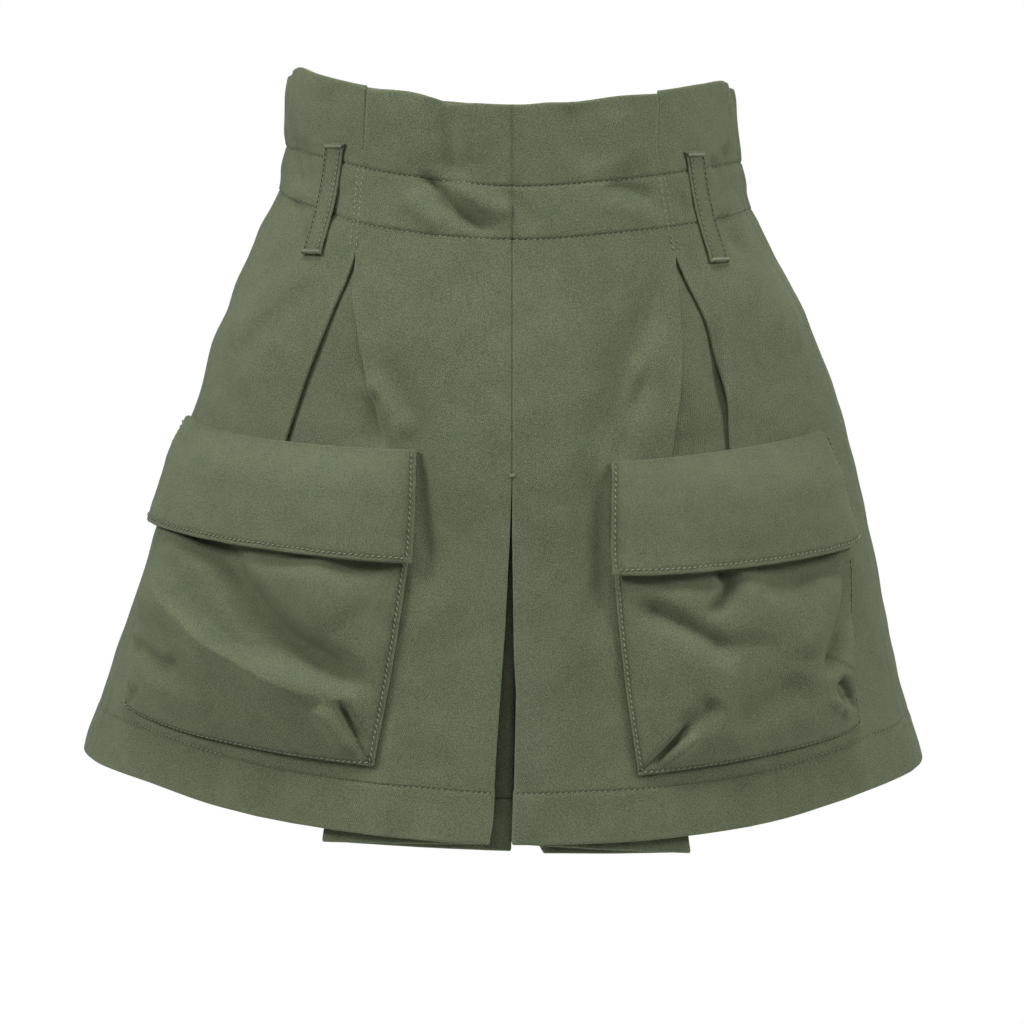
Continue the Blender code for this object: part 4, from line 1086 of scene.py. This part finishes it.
# Creases of the bags: places (share of the width as seen from the front, from the centre side;
# share down), from top to bottom, width on their two sides, height. Sizes are in metres.
BAG_WIDE, BAG_TALL = 0.125, 0.165
BAG_CREASES = {
    "left": [
        ([(0.97, 0.47), (0.83, 0.57), (0.63, 0.68), (0.38, 0.745), (0.17, 0.81)],
         (0.0130, 0.0036), +0.0086),
        ([(0.90, 0.30), (0.80, 0.37), (0.68, 0.42), (0.59, 0.50), (0.46, 0.605), (0.26, 0.69),
          (0.04, 0.78)], (0.0062, 0.0070), -0.0108),
        ([(0.40, 0.36), (0.30, 0.46), (0.16, 0.55)], (0.0160, 0.0140), +0.0030),
        ([(0.95, 0.735), (0.86, 0.765), (0.74, 0.80)], (0.0055, 0.0065), -0.0042),
        ([(0.86, 0.53), (0.63, 0.665), (0.38, 0.755), (0.19, 0.81)], (0.0032, 0.0010), +0.0017),
        ([(0.60, 0.50), (0.40, 0.62), (0.26, 0.69), (0.06, 0.75)], (0.0100, 0.0100), -0.0030),
        ([(0.97, 0.71), (0.88, 0.735), (0.76, 0.75)], (0.0050, 0.0050), +0.0024),
        ([(0.86, 0.86), (0.74, 0.87), (0.60, 0.90)], (0.0060, 0.0060), +0.0020),
        ([(0.175, 0.800), (0.090, 0.900), (0.015, 0.985)], (0.0016, 0.0034), -0.0060),
        ([(0.230, 0.820), (0.150, 0.900), (0.080, 0.975)], (0.0046, 0.0028), +0.0036),
        ([(0.900, 0.890), (0.950, 0.935), (0.990, 0.980)], (0.0024, 0.0024), -0.0034),
        ([(0.02, 0.375), (0.50, 0.385), (0.97, 0.375)], (0.0060, 0.0060), -0.0030),
    ],
    "right": [
        ([(0.05, 0.44), (0.22, 0.52), (0.46, 0.66)], (0.0056, 0.0066), -0.0056),
        ([(0.50, 0.43), (0.74, 0.425), (0.97, 0.39)], (0.0110, 0.0090), -0.0064),
        ([(0.42, 0.33), (0.415, 0.44), (0.34, 0.51)], (0.0044, 0.0028), -0.0056),
        ([(0.58, 0.36), (0.53, 0.50), (0.50, 0.62)], (0.0120, 0.0100), +0.0026),
        ([(0.970, 0.40), (0.915, 0.58), (0.845, 0.70), (0.810, 0.78)], (0.0075, 0.0042), -0.0120),
        ([(0.84, 0.40), (0.78, 0.56), (0.70, 0.70)], (0.0070, 0.0080), +0.0034),
        ([(0.72, 0.74), (0.56, 0.82), (0.38, 0.88)], (0.0100, 0.0090), -0.0034),
        ([(0.34, 0.77), (0.26, 0.83), (0.17, 0.86)], (0.0070, 0.0060), -0.0036),
        ([(0.225, 0.845), (0.120, 0.925), (0.020, 0.985)], (0.0030, 0.0016), -0.0056),
        ([(0.270, 0.875), (0.180, 0.935), (0.100, 0.975)], (0.0028, 0.0044), +0.0030),
        ([(0.86, 0.78), (0.92, 0.85), (0.99, 0.93)], (0.0024, 0.0040), -0.0060),
        ([(0.80, 0.84), (0.87, 0.90), (0.94, 0.96)], (0.0040, 0.0030), +0.0034),
        ([(0.870, 0.80), (0.865, 0.84), (0.885, 0.90)], (0.0022, 0.0022), -0.0040),
        ([(0.02, 0.375), (0.50, 0.385), (0.97, 0.375)], (0.0060, 0.0060), -0.0030),
    ],
}
# Darts and fold edges of the bags, in the same shares: how sharp, and where the cloth turns.
BAG_DARTS = {
    "left": [
        (1.0, [(0.210, 0.795), (0.110, 0.895), (0.020, 0.985), (-0.030, 1.035)]),
        (0.6, [(0.960, 0.880), (0.965, 0.945), (0.990, 0.995)]),
        (0.34, [(0.860, 0.515), (0.780, 0.565), (0.630, 0.650), (0.380, 0.745), (0.190, 0.800)]),
    ],
    "right": [
        (1.0, [(0.225, 0.835), (0.120, 0.920), (0.020, 0.985), (-0.040, 1.020)]),
        (0.8, [(0.955, 0.520), (0.915, 0.585), (0.862, 0.655), (0.846, 0.700), (0.880, 0.740),
               (0.930, 0.775), (1.000, 0.830)]),
        (1.0, [(0.868, 0.945), (0.860, 0.890), (0.884, 0.866), (0.926, 0.868), (0.990, 0.935)]),
    ],
}
LIE = SEAM_GAP + 0.0005        # how far a pocket's sewn edge lies off the front
FLAP_SHARE, MOUTH_SHARE = 0.36, 0.17
MOUTH_OUT, BAG_OUT = 0.0085, 0.0145
BAG_EDGE_STITCH = np.array([0.0016, 0.0018])     # from the sides and from the bottom
FOLD_STRENGTH = 1.2
DART_DEPTH, DART_WIDTH = 0.0011, 0.0010
BAG_GROOVE, BAG_PUCKER, BAG_UNEVEN = 0.0004, 0.00035, 0.0009
BAG_WEAR = 0.0012              # how far from its edges a bag is rubbed
POCKET_STITCH_LIFT = 0.0002
LEAST_STAND = 0.0010           # a trough comes no nearer to the front than this
TROUGH_SOFTNESS = 0.24         # share of the swell over which a deep trough levels out


def pocket_place(side, across, share):
    """Angle and height of a place on a pocket: across from the centre side, share down it."""
    table = POCKETS[side]
    x_in, z_in, phi_out, z_out, bow = [
        smooth_table(share, table[:, 0], table[:, k]) for k in range(1, 6)]
    phi_in = angle_of(x_in, z_in)
    phi = phi_in + (np.radians(phi_out) - phi_in) * across
    return phi, z_in + (z_out - z_in) * across + bow * 4 * across * (1 - across)


def bag_belly(across, share):
    """How far the full pouch stands out, and the share of its creases that reaches its seams.

    The swell grows from the mouth's to the belly's along a quarter sine and falls to nothing at
    the seams, as 1 - edge^5 across and 1 - down^11 down the pouch.
    """
    down = np.clip((share - MOUTH_SHARE) / (1 - MOUTH_SHARE), 0, 1)
    swell = MOUTH_OUT + (BAG_OUT - MOUTH_OUT) * np.sin(np.clip(down * 1.3, 0, 1) * np.pi / 2)
    edge = np.abs(2 * across - 1)
    return swell * (1 - edge ** 5) * (1 - down ** 11), (1 - edge ** 16) * (1 - down ** 24)


def bag_folds(side, phi, z, share):
    """Creases and unevenness of the pouch's face, and its darts, by its width as seen."""
    x = half_sizes(phi, z)[0] * np.sin(phi)
    seen = (x - x[:, :1]) / (x[:, -1:] - x[:, :1])
    creases = [([(a * BAG_WIDE, -s * BAG_TALL) for a, s in places], wide, height)
               for places, wide, height in BAG_CREASES[side]]
    folds = FOLD_STRENGTH * creased(seen * BAG_WIDE, -share * BAG_TALL, creases)
    uneven = rumple(seen * BAG_WIDE, share * BAG_TALL, 0.030, 90 + int(SIDES[side]))
    darts = [([(a * BAG_WIDE, -s * BAG_TALL) for a, s in places], (DART_WIDTH,) * 2, strength)
             for strength, places in BAG_DARTS[side]]
    darts = np.clip(creased(seen * BAG_WIDE, -share * BAG_TALL, darts), 0, 1)
    return folds + BAG_UNEVEN * uneven, darts


def edge_distance(across, share, wide, tall, sides=("in", "out", "bottom")):
    """Distance in metres from the nearest of the named edges of a pocket piece."""
    edges = {"in": across * wide, "out": (1 - across) * wide, "bottom": (1 - share) * tall,
             "top": share * tall}
    return np.min([np.broadcast_to(edges[k], np.broadcast(across, share).shape) for k in sides], 0)


def edge_groove(across, down, wide, tall, inset):
    """Groove along the stitching at both sides and at the bottom, by the insets of each."""
    sides = edge_distance(across, down, wide, tall, ("in", "out"))
    bottom = edge_distance(across, down, wide, tall, ("bottom",))
    return np.maximum(stitch_groove(sides - inset[0]) * (bottom > inset[1]),
                      stitch_groove(bottom - inset[1]) * (sides > inset[0]))


def edge_stitches(points, normals, across, share, edge, inset):
    """Stitch run along one edge of a grid, inset from it: in, out or bottom."""
    column = {"in": inset[0], "out": 1 - inset[0]}
    if edge in column:
        at = int(np.argmin(np.abs(across - column[edge])))
        rows = (share > inset[1] * 0.6) & (share < 1 - inset[1])
        return stitch_run(points[rows, at], normals[rows, at], PLY / 2 + POCKET_STITCH_LIFT)
    at = int(np.argmin(np.abs(share - (1 - inset[1]))))
    columns = (across > inset[0]) & (across < 1 - inset[0])
    return stitch_run(points[at, columns], normals[at, columns], PLY / 2 + POCKET_STITCH_LIFT)


for side in SIDES:
    across = across_steps(128, BAG_WIDE)
    inset = BAG_EDGE_STITCH / np.array([BAG_WIDE, BAG_TALL])
    across = np.unique(np.append(across, [inset[0], 1 - inset[0]]))
    down = across_steps(146, BAG_TALL)
    down = np.unique(np.append(down, 1 - inset[1]))
    grid_across, grid_down = np.meshgrid(across, down)
    grid_share = MOUTH_SHARE + (1 - MOUTH_SHARE) * grid_down
    phi, z = pocket_place(side, grid_across, grid_share)
    apart = edge_distance(grid_across, grid_down, BAG_WIDE, BAG_TALL)
    groove = edge_groove(grid_across, grid_down, BAG_WIDE, BAG_TALL, BAG_EDGE_STITCH)
    length = (grid_across * BAG_WIDE, grid_down * BAG_TALL)
    pucker = BAG_PUCKER * rumple(*length, 0.0085, 95) * np.exp(-apart / 0.006)
    swell, free = bag_belly(grid_across, grid_share)
    folds, darts = bag_folds(side, phi, z, grid_share)
    stand = swell + folds * free
    above = stand - np.minimum(swell, LEAST_STAND)
    stand = np.minimum(swell, LEAST_STAND) + 0.5 * (
        above + np.hypot(above, TROUGH_SOFTNESS * swell))
    lift = WALL / 2 + LIE + stand - BAG_GROOVE * groove + np.abs(pucker) - DART_DEPTH * darts
    # painted shade along the edge stitching's grooves and the darts' lines
    groove = np.clip(groove + 1.1 * darts, 0, 1.3)
    points = worn_front(phi, z, lift)
    order, facing = outwards(side, "right")
    thickness = PLY * edge_round(edge_distance(grid_across, grid_down, BAG_WIDE, BAG_TALL,
                                               ("in", "out", "bottom", "top")))
    rubbed = np.exp(-apart / BAG_WEAR)
    uv = cloth_uv(points, len(across) // 2)
    bag = cloth_piece(f"pocket_bag_cloth_{side}", points[:, order], thickness[:, order],
                      uv[:, order], groove[:, order], rubbed[:, order])
    normals = grid_normals(points) * facing
    runs = [edge_stitches(points, normals, across, down, edge, inset)
            for edge in ("in", "out", "bottom")]
    seams = stitching(f"pocket_bag_stitching_{side}", runs)
    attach(bag, "root")
    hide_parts(f"pocket_bag_{side}")

# ---------------------------------------------------------------- pocket flaps
# Two layers bagged out and pressed, sewn to the front along the top and edge-stitched round
# the other three sides. The flap lies over the pouch's mouth and lifts a little at its corners.
FLAP_PLY = 0.0024
FLAP_CLEAR = 0.0012
FLAP_EDGE_STITCH = np.array([0.0017, 0.0026])
FLAP_TALL = 0.060
FLAP_LIFT = {"left": (0.0012, 0.0030), "right": (0.0026, 0.0018)}   # inner, outer corner
FLAP_OVERHANG = 0.012      # share of its width by which a flap is wider than its bag, each side
FLAP_GROOVE, FLAP_PUCKER, FLAP_UNEVEN = 0.0004, 0.00040, 0.0006
# how far from its edges a flap is rubbed paler, and how far below its sewn top painted shade
# darkens it
FLAP_WEAR, FLAP_TOP_SHADE = 0.0014, 0.0016
CORNER_LIFTED = 0.16       # share of the width over which a corner's lift dies away
CORNER_DROP, CORNER_ACROSS, CORNER_DOWN = 0.0042, 0.0050, 0.0120    # its outer top corner

for side, sign in SIDES.items():
    across = across_steps(90, BAG_WIDE)
    inset = FLAP_EDGE_STITCH / np.array([BAG_WIDE, FLAP_TALL])
    across = np.unique(np.append(across, [inset[0], 1 - inset[0]]))
    down = np.unique(np.append(across_steps(40, FLAP_TALL), 1 - inset[1]))
    grid_across, grid_down = np.meshgrid(across, down)
    share = FLAP_SHARE * grid_down
    wider = -FLAP_OVERHANG + (1 + 2 * FLAP_OVERHANG) * grid_across
    phi, z = pocket_place(side, wider, share)
    from_corner = ((1 - grid_across) * BAG_WIDE / CORNER_ACROSS
                   + grid_down * FLAP_TALL / CORNER_DOWN)
    z = z - CORNER_DROP * np.exp(-from_corner)
    rise = np.sin(np.clip(share / MOUTH_SHARE, 0, 1) * np.pi / 2)
    sewn = FLAP_PLY / 2 + LIE
    clear = (WALL + FLAP_PLY) / 2 + FLAP_CLEAR
    swell = bag_belly(grid_across, np.maximum(share, MOUTH_SHARE))[0]
    lift = np.maximum(WALL / 2 + LIE + swell + clear, sewn)
    lift = sewn + (lift - sewn) * rise
    corner_in, corner_out = FLAP_LIFT[side]
    lift += grid_down ** 3 * (
        corner_in * np.exp(-(grid_across / CORNER_LIFTED) ** 2)
        + corner_out * np.exp(-((1 - grid_across) / CORNER_LIFTED) ** 2))
    apart = edge_distance(grid_across, grid_down, BAG_WIDE, FLAP_TALL)
    groove = edge_groove(grid_across, grid_down, BAG_WIDE, FLAP_TALL, FLAP_EDGE_STITCH)
    # painted shade along the sewn top seam, added to the painted shade of the stitch grooves
    top = np.exp(-grid_down * FLAP_TALL / FLAP_TOP_SHADE)
    length = (grid_across * BAG_WIDE, grid_down * FLAP_TALL)
    pucker = FLAP_PUCKER * rumple(*length, 0.0090, 97) * np.exp(-apart / 0.005)
    uneven = FLAP_UNEVEN * rumple(*length, 0.036, 98 + int(sign)) * rise
    points = worn_front(phi, z, lift - FLAP_GROOVE * groove + pucker + uneven)
    order, facing = outwards(side, "right")
    round_edges = edge_round(edge_distance(grid_across, grid_down, BAG_WIDE, FLAP_TALL,
                                           ("in", "out", "bottom", "top")))
    uv = cloth_uv(points, len(across) // 2)
    flap = cloth_piece(f"pocket_flap_cloth_{side}", points[:, order],
                       FLAP_PLY * round_edges[:, order], uv[:, order],
                       np.clip(groove + 0.7 * top, 0, 1)[:, order],
                       np.exp(-apart / FLAP_WEAR)[:, order])
    normals = grid_normals(points) * facing
    runs = [edge_stitches(points, normals, across, down, edge, inset)
            for edge in ("in", "out", "bottom")]
    runs = [(place + normal * (FLAP_PLY - PLY) / 2, along, normal)
            for place, along, normal in runs]
    seams = stitching(f"pocket_flap_stitching_{side}", runs)
    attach(flap, "root")
    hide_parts(f"pocket_flap_{side}")

# ---------------------------------------------------------------- belt loops
# A loop is a strip folded in three, edge-stitched down both sides, turned under at its ends
# and bar-tacked to the casing across each end. Between them it follows the hollow of the waist.
LOOP_PLY = 0.0018
LOOP_WIDTH = 0.0135
LOOP_TALL = 0.060
LOOP_HOLLOW = 0.0022       # how far its middle lies inside a straight line between its ends
LOOP_TAB = 0.006
LOOP_FOLD = 0.0046         # length of the turned-under end, which is thicker and wider
LOOP_STITCH_IN = 0.0020    # from its long edges
LOOP_STITCH_PITCH = 0.0028
LOOP_FULL = 0.0003         # how far its face swells between the stitches, and they draw it in
LOOP_WEAR = 0.0010
TACK_PITCH = 0.0007
LOOPS = {
    # x and z of the upper and the lower end; over is how far the gathers lift the loop
    "front_left": {"x": (-0.0955, -0.1085), "z": (0.0235, -0.0365), "over": 0, "back": False},
    "front_right": {"x": (0.0985, 0.1125), "z": (0.0190, -0.0410), "over": 0, "back": False},
    "back_left": {"x": (-0.0720, -0.0760), "z": (0.0200, -0.0400), "over": 0.0016, "back": True},
    "back_centre": {"x": (0.0000, 0.0000), "z": (0.0180, -0.0420), "over": 0, "back": True},
    "back_right": {"x": (0.0720, 0.0760), "z": (0.0180, -0.0420), "over": 0.0015, "back": True},
}


def loop_spine(place):
    """Places down the middle of a loop, its outward direction and the direction across it."""
    x, z, back = place["x"], place["z"], place["back"]
    ends_z = np.array([z[0], z[0] - LOOP_TAB, z[1] + LOOP_TAB, z[1]])
    phi = angle_of(np.interp(ends_z, [z[1], z[0]], [x[1], x[0]]), ends_z, back)
    ends = on_form(phi, ends_z, LOOP_PLY / 2 + SEAM_GAP + place["over"])
    middle_phi, middle_z = phi[1:3].mean(), ends_z[1:3].mean()
    outward = on_form(middle_phi, middle_z, 1.0) - on_form(middle_phi, middle_z, 0.0)
    at = np.linspace(0, 3, 46)[:, None]
    spine = np.stack([np.interp(at[:, 0], np.arange(4), ends[:, k]) for k in range(3)], -1)
    bow = np.sin(np.pi * np.clip(at - 1, 0, 1)) ** 0.8
    return spine - outward * LOOP_HOLLOW * bow, outward, np.array([-outward[1], outward[0], 0.0])


for name, place in LOOPS.items():
    spine, outward, sideways = loop_spine(place)
    share = across_steps(12, LOOP_WIDTH)
    rows = np.linspace(0, 1, len(spine))[:, None]
    end = np.minimum(rows, 1 - rows)[:, 0] * LOOP_TALL
    folded = np.exp(-(end / LOOP_FOLD) ** 4)
    narrow = 1.03 + 0.04 * folded[:, None]
    points = spine[:, None] - sideways * ((0.5 - share) * narrow * LOOP_WIDTH)[..., None]
    edge = np.minimum(share, 1 - share) * LOOP_WIDTH
    groove = stitch_groove(edge - LOOP_STITCH_IN)
    full = LOOP_FULL * np.sin(np.pi * share) - LOOP_FULL * groove
    points = points + outward * full[None, :, None]
    thickness = LOOP_PLY * edge_round(np.minimum(edge[None], end[:, None]))
    thickness = thickness * (1 + 0.55 * folded[:, None])
    points = points + outward * (0.28 * LOOP_PLY * folded)[:, None, None]
    # painted shade along the grooves of the edge stitching
    groove_shade = np.broadcast_to(groove, (len(spine), len(share)))
    uv = cloth_uv(points, 0)
    order = slice(None, None, -1)
    loop = cloth_piece(f"belt_loop_cloth_{name}", points[:, order], thickness[:, order],
                       uv[:, order], groove_shade[:, order], np.exp(-edge / LOOP_WEAR)[None, order])
    normals = np.broadcast_to(outward, points.shape)
    columns = [int(np.argmin(np.abs(share * LOOP_WIDTH - inset)))
               for inset in (LOOP_STITCH_IN, LOOP_WIDTH - LOOP_STITCH_IN)]
    runs = [stitch_run(points[2:-2, c], normals[2:-2, c], LOOP_PLY / 2,
                       pitch=LOOP_STITCH_PITCH)
            for c in columns]
    for tack in (4, len(spine) - 5):
        line = points[tack, 1:-1] + outward * 0.0004
        runs.append(stitch_run(line, normals[tack, 1:-1], LOOP_PLY / 2 + 0.0001,
                               pitch=TACK_PITCH, slant=76))
    seams = stitching(f"belt_loop_stitching_{name}", runs)
    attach(loop, "root")
    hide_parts(f"belt_loop_{name}")

# ---------------------------------------------------------------- release tack
# A short bar tack crosses the centre seam where the pleat is set free, above the slit.
TACK_HALF = 0.0013
tack_x = np.linspace(-TACK_HALF, TACK_HALF, 9)
tack_z = np.full_like(tack_x, -0.1528)
tack_phi = angle_of(tack_x, tack_z)
tack_line = worn_front(tack_phi, tack_z, 0.0)
tack_normal = worn_front(tack_phi, tack_z, 1.0) - tack_line
tack = stitching("release_tack", [stitch_run(tack_line, tack_normal, 0.0002, pitch=TACK_PITCH,
                                             slant=70)])

# ---------------------------------------------------------------- floor and light
# A pale floor lies far below the garment. Four large soft lights shine on it: one on each side
# of the camera, the left one stronger, one above and one behind. The backdrop is white.
FLOOR_Z = -1.6
FLOOR_RADIUS = 1.6
LIGHT_AIM = Vector((0.0, 0.0, -0.15))
WHITE = (1.0, 1.0, 1.0, 1.0)


def soft_light(name, place, size, power):
    """Square area light aimed at the middle of the garment, which the camera doesn't see."""
    light = bpy.data.lights.new(name, "AREA")
    light.size = size
    light.energy = power
    lamp = bpy.data.objects.new(name, light)
    lamp.location = place
    lamp.rotation_euler = (LIGHT_AIM - Vector(place)).to_track_quat("-Z", "Y").to_euler()
    lamp.visible_camera = False
    bpy.context.collection.objects.link(lamp)


soft_light("left_softbox", (-2.1, -1.10, 1.25), 0.8, 41)
soft_light("right_softbox", (2.1, -1.10, 1.05), 0.8, 31)
soft_light("top_softbox", (0.0, -0.9, 2.3), 0.9, 24)
soft_light("back_softbox", (0.3, 2.4, 1.2), 1.6, 40)

floor_mesh = bpy.data.meshes.new("floor")
rim = np.linspace(0, 2 * np.pi, 97)[:-1]
circle = np.stack([FLOOR_RADIUS * np.cos(rim), FLOOR_RADIUS * np.sin(rim), 0 * rim + FLOOR_Z], -1)
floor_mesh.from_pydata(circle.tolist(), [], [list(range(len(circle)))])
pale = Dye("pale floor")
pale.surface({"Base Color": (0.92, 0.92, 0.92, 1.0), "Roughness": 0.9,
              "Emission Color": WHITE, "Emission Strength": 0.5})
floor_mesh.materials.append(pale.material)
floor = bpy.data.objects.new("floor", floor_mesh)
bpy.context.collection.objects.link(floor)

world = bpy.data.worlds.new("studio")
world.use_nodes = True
bpy.context.scene.world = world
studio = Nodes(world.node_tree)
sky = studio.node("ShaderNodeBackground", {}, {"Color": WHITE, "Strength": 0.10})
backdrop = studio.node("ShaderNodeBackground", {}, {"Color": WHITE})
by_camera = studio.node("ShaderNodeLightPath", {}, {}, "Is Camera Ray")
both = studio.node("ShaderNodeMixShader", {}, {0: by_camera, 1: sky, 2: backdrop})
studio.join(both, studio.tree.nodes["World Output"].inputs[0])
bpy.context.scene.view_settings.view_transform = "Standard"
